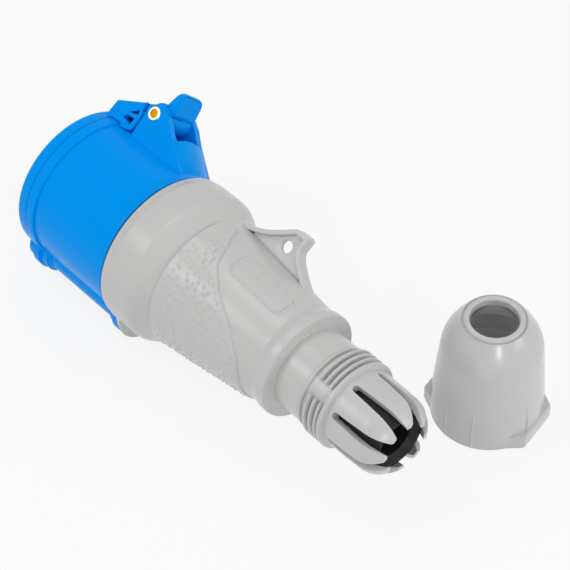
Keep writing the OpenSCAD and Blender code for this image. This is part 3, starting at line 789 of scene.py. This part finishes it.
    def eye_web(self) -> bpy.types.Object:
        """The web of the hanging eye: flat between its hole and its outline, with a rounded hole edge.

        Each point is hole + t (outline - hole) along its own direction from the hole's middle.

        Returns:
            The web as a closed ring.
        """
        rounded = 0.12
        middle = np.array([self.eye_x, self.eye_z])
        outline = np.array([
            [70.5, 17], [71.5, 23.2], [76.7, 25.5], [81.4, 28.6], [85.6, 31.5], [89.8, 31.5], [89.0, 27.0],
            [91.4, 23.9], [95.3, 20.8], [95.3, 17]])
        fine = densify(outline, 0.2, True) - middle
        at = np.arctan2(fine[:, 1], fine[:, 0])
        order = np.argsort(at)
        turn = np.linspace(-np.pi, np.pi, 160, endpoint=False)
        far = np.interp(turn, at[order], np.linalg.norm(fine, axis=1)[order], period=2 * np.pi)
        t = np.r_[0.0, 0.02, 0.06, np.linspace(rounded, 1.0, 10)]
        edge = self.eye_half * np.sqrt(1.0 - (1.0 - np.clip(t / rounded, 0.35, 1.0)) ** 2)
        reach = self.eye_hole_r + t[:, None] * (far - self.eye_hole_r)[None, :]
        half = np.broadcast_to(edge[:, None], reach.shape)
        xz = middle + reach[..., None] * np.stack([np.cos(turn), np.sin(turn)], -1)[None]
        front = np.stack([xz[..., 0], -half, xz[..., 1]], -1)
        back = np.stack([xz[..., 0], half, xz[..., 1]], -1)
        patch = Patch(np.concatenate([front, back[::-1]]), True, True)
        return make_piece("hanging_eye_web", [patch], self.axes, Slot.GREY)

    def latch_lobe(self) -> bpy.types.Object:
        """The half moon lobe under the collar, behind the shell's tongue.

        Its section at each x is an arc of radius r(x) about a line below the socket axis, closed by an arc
        inside the collar. r grows by 1 mm along x and draws in by e (1 - sqrt(1 - q^2)) over the last e
        at each end.

        Returns:
            The lobe, closed at both ends.
        """
        half_turn, inner_r = 66.0, 25.2
        (x0, x1), e = self.lobe_x, self.lobe_round
        q = np.sin(np.linspace(0.0, np.pi / 2, 7))
        middle = np.linspace(x0 + e, x1 - e, 9)[1:-1]
        x = np.r_[x0 + e * (1 - q[::-1]), middle, x1 - e * (1 - q)]
        near = np.clip(1.0 - np.minimum(x - x0, x1 - x) / e, 0.0, 1.0)
        r = self.lobe_r + (x - x0) / (x1 - x0) - e * (1.0 - np.sqrt(1.0 - near**2))
        turn = np.radians(np.linspace(-half_turn, half_turn, 81))
        y, z = r[:, None] * np.sin(turn), self.lobe_z - r[:, None] * np.cos(turn)
        inner = inner_r / np.hypot(y, z)
        y, z = np.hstack([y, (y * inner)[:, ::-1]]), np.hstack([z, (z * inner)[:, ::-1]])
        points = np.stack([np.broadcast_to(x[:, None], y.shape), y, z], -1)
        return make_piece("latch_lobe", [Patch(capped(points), False, True)], self.axes, Slot.GREY)

    def build(self) -> None:
        """Builds the handle's pieces and lets its shell stand for the CAD node."""
        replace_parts(self.shell(), "handle")
        self.grip_pad()
        self.label_frame()
        self.eye_border()
        self.eye_web()
        self.latch_lobe()


@dataclass
class CableClamp:
    """The thread and the slotted fingers at the cable end of the handle, in millimetres."""

    axes: SocketAxes
    thread_x: float = 129.0
    thread_pitch: float = 2.35
    thread_turns: int = 3
    thread_half: float = 80.0
    thread_fade: float = 2.0
    ridge_r: float = 14.5
    finger_count: int = 8
    finger_turn: float = math.radians(14.6)
    finger_r: float = 13.95
    finger_round: float = 0.16
    slot_r: float = 1.2
    start_x: float = 138.6
    root_x: float = 140.3
    bend_x: float = 150.1
    bend_r: float = 13.75
    tip_x: float = 159.1
    tip_drop: float = 4.55
    seal_r: float = 10.8

    def thread(self) -> bpy.types.Object:
        """The interrupted thread.

        A rounded ridge is carried along x = x0 + pitch a / 360 for 160 degrees over the top and again under
        the axis, and its height runs out over the last 2 degrees at either end.

        Returns:
            All ridges as one piece.
        """
        corners = [[-0.8, -0.8], [-0.66, 0.2], [-0.4, 1.2], [0.4, 1.2], [0.66, 0.2], [0.8, -0.8]]
        ridge = soften(np.array(corners), 0.18, 4)
        sweep = np.linspace(-self.thread_half, self.thread_half, 120)
        past = np.clip(np.abs(sweep) - self.thread_half + self.thread_fade, 0.0, None) / self.thread_fade
        fade = np.sqrt(np.clip(1.0 - past**2, 0.02, 1.0))[:, None]
        across, r = ridge[None, :, 0] * (0.6 + 0.4 * fade), self.ridge_r + ridge[None, :, 1] * fade
        patches = []
        for k in range(2 * self.thread_turns):
            turn = (180.0 * k + sweep)[:, None]
            x = self.thread_x + self.thread_pitch * turn / 360.0
            points = around(x + across, r, np.radians(turn))
            patches.append(Patch(capped(points), False, True))
        return make_piece("gland_thread", patches, self.axes, Slot.GREY)

    def fingers(self) -> bpy.types.Object:
        """The clamping fingers.

        Each is an arched bar carried along x. Its section runs along the outer arc r_out(x), down one side,
        back along the inner arc r_in(x) and up the other side, with rounded corners. The sides stand half a
        slot width from the planes between fingers, and the slot starts as a half circle and widens towards
        the tips.

        Returns:
            All fingers as one piece.
        """
        t = np.linspace(0.0, 1.0, 40)
        bend = [self.bend_x + (self.tip_x - self.bend_x) * t, self.bend_r - self.tip_drop * t**2.6]
        outer = np.vstack([[[135.4, self.finger_r], [146.1, self.finger_r]], np.stack(bend, 1)])
        inner = np.array([
            [124, self.seal_r], [self.bend_x, self.seal_r], [154.1, 10.35], [156.3, 9.5], [158, 8.6],
            [self.tip_x, 7.8]])
        slot_x = self.root_x - self.slot_r
        slot_end = slot_x + self.slot_r * (1 - np.cos(np.linspace(0.12, np.pi / 2, 12)))
        straight = np.linspace(self.root_x + 0.6, self.bend_x - 0.1, 16)
        curved = np.linspace(self.bend_x + 0.3, self.tip_x - 0.8, 34)
        tip = np.linspace(self.tip_x - 0.7, self.tip_x, 10)
        x = np.r_[self.start_x, slot_x - 0.01, slot_end, straight, curved, tip]
        ro = np.interp(x, outer[:, 0], outer[:, 1])[:, None]
        ri = np.interp(x, inner[:, 0], inner[:, 1])[:, None]
        start = np.sqrt(np.clip(self.slot_r**2 - np.clip(self.root_x - x, 0.0, None) ** 2, 0.0, None))
        widening = np.interp(x, [self.root_x, 156.9, 160.1], [self.slot_r, 1.95, 2.35])
        gap = np.where(x < self.root_x, np.minimum(widening, start), widening)
        gap = np.where(x < slot_x, 0.0, gap)[:, None]
        sector = np.pi / self.finger_count
        corner = np.clip((x - slot_x) * 0.3, 0.0, self.finger_round)[:, None]
        v = np.linspace(0.0, 1.0, 21)[None, :]
        q = np.linspace(0.0, np.pi / 2, 6)[None, :]
        flat_o = sector - np.arcsin(np.clip(gap / ro, 0.0, 1.0)) - corner / ro
        flat_i = sector - np.arcsin(np.clip(gap / ri, 0.0, 1.0)) - corner / ri
        turn_r = ro - corner + corner * np.cos(q)
        turn_a = flat_o + corner / ro * np.sin(q)
        low_r = ri + corner - corner * np.cos(q[:, ::-1])
        low_a = flat_i + corner / ri * np.sin(q[:, ::-1])
        r = np.hstack([ro + 0.0 * v, turn_r, low_r, ri + 0.0 * v, low_r[:, ::-1], turn_r[:, ::-1]])
        top_a, bottom_a = flat_o * (2 * v - 1), flat_i * (1 - 2 * v)
        a = np.hstack([top_a, turn_a, low_a, bottom_a, -low_a[:, ::-1], -turn_a[:, ::-1]])
        patches = []
        for k in range(self.finger_count):
            points = around(x[:, None], r, a + self.finger_turn + sector * (2 * k + 1))
            patches.append(Patch(capped(points), False, True))
        return make_piece("clamp_fingers", patches, self.axes, Slot.GREY)

    def build(self) -> None:
        """Builds the thread and the fingers, which are part of the handle's moulding."""
        self.thread()
        self.fingers()


@dataclass
class GlandNut:
    """The gland nut that stands on the table on its open end, in millimetres and degrees."""

    axes: UprightAxes
    height: float = 43.0
    base_r: float = 18.4
    hole_r: float = 7.85
    dome_height: float = 12.4
    dome_rise: float = 11.62
    dome_top_r: float = 10.56
    dome_spread: float = 5.82
    wing_d: float = 19.05
    wing_half: float = 7.9
    wing_top: float = 5.3
    wing_shelf: float = 0.35
    wing_slope: float = 0.7246
    wing_turns: tuple[float, ...] = (14.0, 194.0)
    ridge_turns: tuple[float, ...] = (-92.0, -61.0, -2.0, 88.0, 119.0, 178.0)
    thread_r: float = 16.1
    crest_r: float = 15.3
    thread_pitch: float = 2.35
    thread_turns: int = 4
    columns: int = 560

    def profile(self) -> tuple[np.ndarray, int]:
        """The nut's closed section as (height, radius) pairs.

        Returns:
            The section, outside first, and how many of its points are on the outside wall.
        """
        h, base, top, shelf = self.height, self.base_r, self.wing_top, self.wing_top + self.wing_shelf
        wall = np.array([
            [0, base - 0.3], [0.3, base], [top - 0.5, base - 0.1], [top, 18.28], [shelf - 0.02, 18.27],
            [shelf + 0.01, 18.27], [12, 17.95], [19, 17.4], [26, 16.8]])
        a = np.radians(np.linspace(0, 90, 34))
        dome_z = h - self.dome_height + self.dome_rise * np.sin(a) ** 1.26
        dome_r = self.dome_top_r + self.dome_spread * np.cos(a) ** 2
        outside = densify(np.vstack([wall, np.stack([dome_z, dome_r], 1)]), 0.7)
        rim = soften(np.array([
            [h - 0.85, 10.4], [h - 1.25, 10.1], [h - 1.2, 9.85], [h - 0.5, 9.75], [h, 9.3], [h, 8.35],
            [h - 0.45, self.hole_r], [h - 2.6, self.hole_r]]), 0.3, 5, False)
        inside = soften(np.array([
            [h - 2.7, self.hole_r + 0.1], [h - 2.9, 9.9], [h - 7.6, 11.4], [h - 8.0, 12.5], [h - 13.4, 14.0],
            [h - 14.0, 14.5], [22, 14.6], [14, self.thread_r]]), 0.2, 2, False)
        crest = np.array([
            [3.4, self.thread_r], [2.7, self.crest_r], [2.3, self.crest_r], [1.6, self.thread_r]])
        lift = self.thread_pitch * np.arange(self.thread_turns - 1, -1, -1)
        thread = (crest[None] + np.stack([lift, 0.0 * lift], 1)[:, None]).reshape(-1, 2)
        mouth = np.array([[0.8, self.thread_r], [0, self.thread_r + 0.5]])
        return np.vstack([outside, rim, inside, thread, mouth]), len(outside)

    def wing(self, off: np.ndarray, z: np.ndarray) -> np.ndarray:
        """Radius of a flat grip wing.

        Its face stands at distance d(z) from the axis, so its radius is d / cos(a), and its sides slope back
        along |y| + s d = const. The two join by the soft minimum -k log(exp(-r1 / k) + exp(-r2 / k)).

        Args:
            off: angle from the middle of the wing, in radians.
            z: height of each point.

        Returns:
            The radius, or 0 away from the wing.
        """
        k, widest, span = 0.12, 0.9, 0.85
        d, slope, top, shelf = self.wing_d, self.wing_slope, self.wing_top, self.wing_top + self.wing_shelf
        face = np.interp(z, [0.0, 0.5, top - 0.5, top, shelf], [d - 0.4, d, d, d - 0.35, d - 2.65])
        near = np.clip(off, -widest, widest)
        front = face / np.cos(near)
        side = (self.wing_half + slope * d) / (np.abs(np.sin(near)) + slope * np.cos(near))
        low = np.minimum(front, side)
        soft = low - k * np.log(np.exp((low - front) / k) + np.exp((low - side) / k))
        return np.where((np.abs(off) < span) & (z < shelf - 0.01), soft, 0.0)

    def build(self) -> None:
        """Carries the section round the upright axis, and raises the wings and the ridges on its wall.

        A wing joins the wall by the soft maximum k log(exp(r1 / k) + exp(r2 / k)). A ridge adds a rounded
        step that runs out up the wall.
        """
        k, reach_below = 0.06, 0.5
        profile, walls = self.profile()
        angle = np.linspace(0.0, 2 * np.pi, self.columns, endpoint=False)
        z, r = profile[:, :1], np.repeat(profile[:, 1:2], len(angle), 1)
        wall, wall_z = r[:walls], z[:walls]
        for turn in np.radians(self.wing_turns):
            wing = self.wing(np.angle(np.exp(1j * (angle - turn)))[None, :], wall_z)
            high = np.maximum(wall, wing)
            joined = high + k * np.log(np.exp((wall - high) / k) + np.exp((wing - high) / k))
            wall = np.where(wing > wall - reach_below, joined, wall)
        lift = np.interp(wall_z, [0.1, 0.5, 9.0, 18.0], [0.0, 0.3, 0.5, 0.0])
        plain = np.interp(wall_z, [0.0, 0.3, 9.0, 18.0], [self.base_r, self.base_r, 18.1, 17.48])
        for turn in np.radians(self.ridge_turns):
            across = np.abs(np.angle(np.exp(1j * (angle - turn))))[None, :] * self.base_r
            free = smooth_step(-wall, -plain - 0.25, -plain - 0.05)
            wall = wall + lift * smooth_step(-across, -0.45, -0.2) * free
        r[:walls] = wall
        points = np.stack([r * np.cos(angle), r * np.sin(angle), np.broadcast_to(z, r.shape)], -1)
        body = make_piece("gland_nut_body", [Patch(points, True, True)], self.axes, Slot.NUT)
        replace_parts(body, "gland_nut")


@dataclass
class LidSpring:
    """The torsion spring in the knuckle barrel of the lid, in millimetres."""

    axes: SocketAxes
    coil_r: float = 2.5
    wire_r: float = 0.4
    pitch: float = 0.84
    turns: int = 7
    start_y: float = -2.98
    leg_length: float = 8.9
    leg_lean: float = math.radians(9.0)

    def build(self) -> None:
        """Carries a round wire down the spring's fixed leg and along its coil.

        The coil is (r cos a, pitch a / 360, r sin a) about the pin, and each ring of the wire lies across
        the path's direction.
        """
        turn = np.linspace(0.0, 2 * np.pi * self.turns, 40 * self.turns)
        coil_x = HINGE_X + self.coil_r * np.cos(np.pi + turn)
        coil_z = HINGE_Z + self.coil_r * np.sin(np.pi + turn)
        coil = np.stack([coil_x, self.start_y + self.pitch * turn / (2 * np.pi), coil_z], 1)
        down = np.array([-np.sin(self.leg_lean), 0.0, -np.cos(self.leg_lean)])
        leg = np.array([HINGE_X - self.coil_r, self.start_y, HINGE_Z])
        leg = leg + np.linspace(self.leg_length, 0.3, 24)[:, None] * down
        path = np.vstack([leg, coil])
        ahead = unit(np.gradient(path, axis=0))
        side = unit(np.cross(ahead, np.array([0.0, 1.0, 0.0])))
        up = np.cross(side, ahead)
        ring = np.linspace(0.0, 2 * np.pi, 12, endpoint=False)[None, :, None]
        tube = path[:, None] + self.wire_r * (np.cos(ring) * side[:, None] + np.sin(ring) * up[:, None])
        wire = make_piece("lid_spring_wire", [Patch(capped(tube), False, True)], self.axes, Slot.SPRING)
        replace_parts(wire, "lid_spring")


@dataclass
class CadNodes:
    """The CAD nodes that keep their own shapes and get a finish here."""

    nodes: dict[str, bpy.types.Object]
    record: dict

    def dress(self) -> None:
        """Gives each node the finish of its slot in the record."""
        slots = {s["node"]: Slot(s["material_slot"]) for s in self.record["subparts"]}
        for name, piece in self.nodes.items():
            piece.data.materials.clear()
            piece.data.materials.append(FINISHES[slots[name]].material())
            LOG.info("node %s: %s", name, slots[name].value)


@dataclass
class SoftMoulding:
    """A blue moulding that keeps its CAD shape and gets moulded, rounded edges.

    Attributes:
        node: the CAD node that is copied.
        name: the copy's name.
        body: the body that it rides.
        axes: the socket's axes.
        width: width of a rounded edge, in millimetres.
        sharp: edges that turn by more than this many degrees are rounded.
        flat: faces that turn by less than this many degrees are joined.
        weld: points closer than this, in metres, are joined.
        rib_x: the foot of the key rib lies in front of this place, in millimetres.
        rib_z: the foot of the key rib lies below this height, in millimetres.
    """

    node: bpy.types.Object
    name: str
    body: Body
    axes: SocketAxes
    width: float = 0.3
    sharp: float = 30.0
    flat: float = 0.3
    weld: float = 2e-6
    rib_x: float = 14.0
    rib_z: float = -20.0

    def weights(self, mesh: bpy.types.Mesh) -> np.ndarray:
        """Picks the edges to round: sharp outer ones, away from the crowded foot of the key rib.

        An edge is an outer one if the middle of one face lies behind the plane of the other.

        Args:
            mesh: the joined copy of the node's mesh.

        Returns:
            1 for an edge to round and 0 for any other.
        """
        edge, total = np.empty(len(mesh.loops), int), np.empty(len(mesh.polygons), int)
        normal, centre = np.empty(3 * len(mesh.polygons)), np.empty(3 * len(mesh.polygons))
        co, ends = np.empty(3 * len(mesh.vertices)), np.empty(2 * len(mesh.edges), int)
        mesh.loops.foreach_get("edge_index", edge)
        mesh.polygons.foreach_get("loop_total", total)
        mesh.polygons.foreach_get("normal", normal)
        mesh.polygons.foreach_get("center", centre)
        mesh.vertices.foreach_get("co", co)
        mesh.edges.foreach_get("vertices", ends)
        order = np.argsort(edge, kind="stable")
        edge, face = edge[order], np.repeat(np.arange(len(total)), total)[order]
        pair = edge[:-1] == edge[1:]
        n, c = normal.reshape(-1, 3), centre.reshape(-1, 3)
        one, other = face[:-1][pair], face[1:][pair]
        bend = np.sum(n[one] * n[other], 1)
        outer = np.sum((c[other] - c[one]) * n[one], 1) < 0.0
        weight = np.zeros(len(mesh.edges))
        weight[edge[:-1][pair]] = outer & (bend < math.cos(math.radians(self.sharp)))
        own = (co.reshape(-1, 3) - self.axes.origin) @ self.axes.rows.T / MM
        middle = own[ends.reshape(-1, 2)].mean(1)
        return np.where((middle[:, 2] < self.rib_z) & (middle[:, 0] < self.rib_x), 0.0, weight)

    def build(self) -> bpy.types.Object:
        """Copies the node's mesh, joins its faces and rounds its edges with a Bevel modifier.

        Returns:
            The soft copy, which stands for the node.
        """
        mesh = self.node.data.copy()
        mesh.name = self.name
        bm = bmesh.new()
        bm.from_mesh(mesh)
        bmesh.ops.remove_doubles(bm, verts=bm.verts, dist=self.weld)
        limit = math.radians(self.flat)
        bmesh.ops.dissolve_limit(bm, angle_limit=limit, verts=bm.verts, edges=bm.edges)
        bm.to_mesh(mesh)
        bm.free()
        if "custom_normal" in mesh.attributes:
            mesh.attributes.remove(mesh.attributes["custom_normal"])
        mesh.polygons.foreach_set("use_smooth", np.ones(len(mesh.polygons), bool))
        mesh.set_sharp_from_angle(angle=math.radians(self.sharp))
        weight = mesh.attributes.new("bevel_weight_edge", "FLOAT", "EDGE")
        weight.data.foreach_set("value", self.weights(mesh))
        mesh.materials.clear()
        mesh.materials.append(FINISHES[Slot.BLUE].material())
        piece = bpy.data.objects.new(self.name, mesh)
        bpy.context.scene.collection.objects.link(piece)
        edge = piece.modifiers.new("edges", "BEVEL")
        edge.limit_method = "WEIGHT"
        edge.width = self.width * MM
        edge.segments = 3
        edge.use_clamp_overlap = False
        edge.harden_normals = True
        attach(piece, self.body.value)
        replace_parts(piece, self.node.name)
        LOG.info("piece %s: %d faces", self.name, len(mesh.polygons))
        return piece


def placed(right: np.ndarray, up: np.ndarray, back: np.ndarray, spot: np.ndarray) -> Matrix:
    """The world matrix of a camera or a lamp, with its three directions and its place as columns."""
    return Matrix(np.vstack([np.stack([right, up, back, spot], 1), [0.0, 0.0, 0.0, 1.0]]).tolist())


@dataclass(frozen=True)
class Lamp:
    """A soft square lamp that faces the middle of the table.

    Attributes:
        name: the lamp's name.
        spot: its place, in metres.
        size: its side, in metres.
        power: its power, in watts.
    """

    name: str
    spot: tuple[float, float, float]
    size: float
    power: float

    def build(self) -> None:
        """Adds the lamp, turned towards the middle of the table."""
        data = bpy.data.lights.new(self.name, "AREA")
        data.size, data.energy = self.size, self.power
        lamp = bpy.data.objects.new(self.name, data)
        back = np.array(self.spot) / np.linalg.norm(self.spot)
        side = np.cross([0.0, 1.0, 0.0], back)
        side /= np.linalg.norm(side)
        lamp.matrix_world = placed(side, np.cross(back, side), back, np.array(self.spot))
        bpy.context.scene.collection.objects.link(lamp)


@dataclass
class Studio:
    """The table, the backdrop, the soft light and the camera.

    Attributes:
        azimuth: the camera's turn about the upright axis, in degrees.
        elevation: the camera's height above the table's plane, in degrees.
        distance: the camera's distance from its target, in metres.
        target: the point that the camera faces, in metres.
        sensor: width of the camera's sensor, in millimetres.
        focal: the camera's focal length, in millimetres.
        fill: strength of the soft light from all around.
        table_shade: how much light the table gives back.
        table_glow: share of plain white in the table where it is seen.
        table_half: half the table's side, in metres.
        lamps: the soft lamps.
    """

    azimuth: float = 48.308
    elevation: float = 47.499
    distance: float = 0.78383
    target: tuple[float, float, float] = (-0.003752, 0.002209, 0.022)
    sensor: float = 36.0
    focal: float = 36.0 * 2400.0 / 570.0
    fill: float = 0.57
    table_shade: float = 0.86
    table_glow: float = 0.84
    table_half: float = 4.0
    lamps: tuple[Lamp, ...] = (
        Lamp("overhead", (-0.25, -0.02, 0.92), size=0.46, power=1.2),
        Lamp("front", (0.84, -0.42, 0.38), size=0.17, power=1.35),
        Lamp("right", (0.80, 0.45, 0.40), size=0.40, power=1.7),
        Lamp("left", (-0.42, -0.60, 0.66), size=0.30, power=1.35),
    )

    def camera(self) -> None:
        """Sets the camera at the photograph's angle and distance."""
        a, e = math.radians(self.azimuth), math.radians(self.elevation)
        back = np.array([math.sin(a) * math.cos(e), -math.cos(a) * math.cos(e), math.sin(e)])
        right = np.array([math.cos(a), math.sin(a), 0.0])
        data = bpy.data.cameras.new("camera")
        data.sensor_width = self.sensor
        data.lens = self.focal
        data.clip_start, data.clip_end = 0.01, 20.0
        eye = bpy.data.objects.new("camera", data)
        spot = np.array(self.target) + self.distance * back
        eye.matrix_world = placed(right, np.cross(back, right), back, spot)
        bpy.context.scene.collection.objects.link(eye)
        bpy.context.scene.camera = eye

    @staticmethod
    def seen_directly(tree: bpy.types.NodeTree) -> bpy.types.NodeSocket:
        """Adds nodes that tell rays that show a surface from rays that light others.

        Args:
            tree: the node tree that gets the nodes.

        Returns:
            A socket with 1 for camera, glossy and transmitted rays and 0 for the rest.
        """
        path = tree.nodes.new("ShaderNodeLightPath")
        first, total = tree.nodes.new("ShaderNodeMath"), tree.nodes.new("ShaderNodeMath")
        total.use_clamp = True
        tree.links.new(path.outputs["Is Camera Ray"], first.inputs[0])
        tree.links.new(path.outputs["Is Glossy Ray"], first.inputs[1])
        tree.links.new(first.outputs[0], total.inputs[0])
        tree.links.new(path.outputs["Is Transmission Ray"], total.inputs[1])
        return total.outputs[0]

    def backdrop(self) -> None:
        """Makes the surroundings white where they are seen and a soft fill light elsewhere."""
        world = bpy.data.worlds.new("backdrop")
        world.use_nodes = True
        tree = world.node_tree
        shown = tree.nodes["Background"]
        shown.inputs["Color"].default_value = (1.0, 1.0, 1.0, 1.0)
        shown.inputs["Strength"].default_value = 1.0
        light = tree.nodes.new("ShaderNodeBackground")
        light.inputs["Color"].default_value = (1.0, 1.0, 1.0, 1.0)
        light.inputs["Strength"].default_value = self.fill
        mix = tree.nodes.new("ShaderNodeMixShader")
        tree.links.new(self.seen_directly(tree), mix.inputs[0])
        tree.links.new(light.outputs[0], mix.inputs[1])
        tree.links.new(shown.outputs[0], mix.inputs[2])
        tree.links.new(mix.outputs[0], tree.nodes["World Output"].inputs["Surface"])
        bpy.context.scene.world = world

    def table(self) -> None:
        """Lays a pale table that stays near white where it is seen and keeps the object's shadow."""
        mat = bpy.data.materials.new("pale_table")
        mat.use_nodes = True
        tree = mat.node_tree
        shader = tree.nodes["Principled BSDF"]
        shader.inputs["Base Color"].default_value = (*[self.table_shade] * 3, 1.0)
        shader.inputs["Roughness"].default_value = 0.9
        shader.inputs["Specular IOR Level"].default_value = 0.1
        glow = tree.nodes.new("ShaderNodeEmission")
        share = tree.nodes.new("ShaderNodeMath")
        share.operation = "MULTIPLY"
        share.inputs[1].default_value = self.table_glow
        mix = tree.nodes.new("ShaderNodeMixShader")
        tree.links.new(self.seen_directly(tree), share.inputs[0])
        tree.links.new(share.outputs[0], mix.inputs[0])
        tree.links.new(shader.outputs[0], mix.inputs[1])
        tree.links.new(glow.outputs[0], mix.inputs[2])
        tree.links.new(mix.outputs[0], tree.nodes["Material Output"].inputs["Surface"])
        corners = self.table_half * np.array([[-1, -1, 0], [1, -1, 0], [1, 1, 0], [-1, 1, 0]])
        mesh = bpy.data.meshes.new("table")
        mesh.from_pydata(corners, [], np.array([[0, 1, 2, 3]]))
        mesh.materials.append(mat)
        top = bpy.data.objects.new("table", mesh)
        bpy.context.scene.collection.objects.link(top)

    def build(self) -> None:
        """Builds the whole studio."""
        self.camera()
        self.backdrop()
        self.table()
        for lamp in self.lamps:
            lamp.build()
        bpy.context.scene.view_settings.view_transform = "Standard"


def main() -> None:
    logging.basicConfig(level=logging.INFO, format="%(message)s")
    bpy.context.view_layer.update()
    record = frame["record"]
    axes = SocketAxes.from_record(record)
    hole = next(m for m in record["mounts"] if m["name"] == "nut_cable_hole")
    CadNodes(frame["nodes"], record).dress()
    Handle(axes).build()
    CableClamp(axes).build()
    GlandNut(UprightAxes((hole["pos_m"][0], hole["pos_m"][1]))).build()
    LidSpring(axes).build()
    SoftMoulding(frame["nodes"]["front_shell"], "front_shell_soft", Body.SOCKET, axes).build()
    SoftMoulding(frame["nodes"]["lid"], "lid_soft", Body.LID, axes).build()
    Studio().build()


if __name__ == "__main__":
    main()
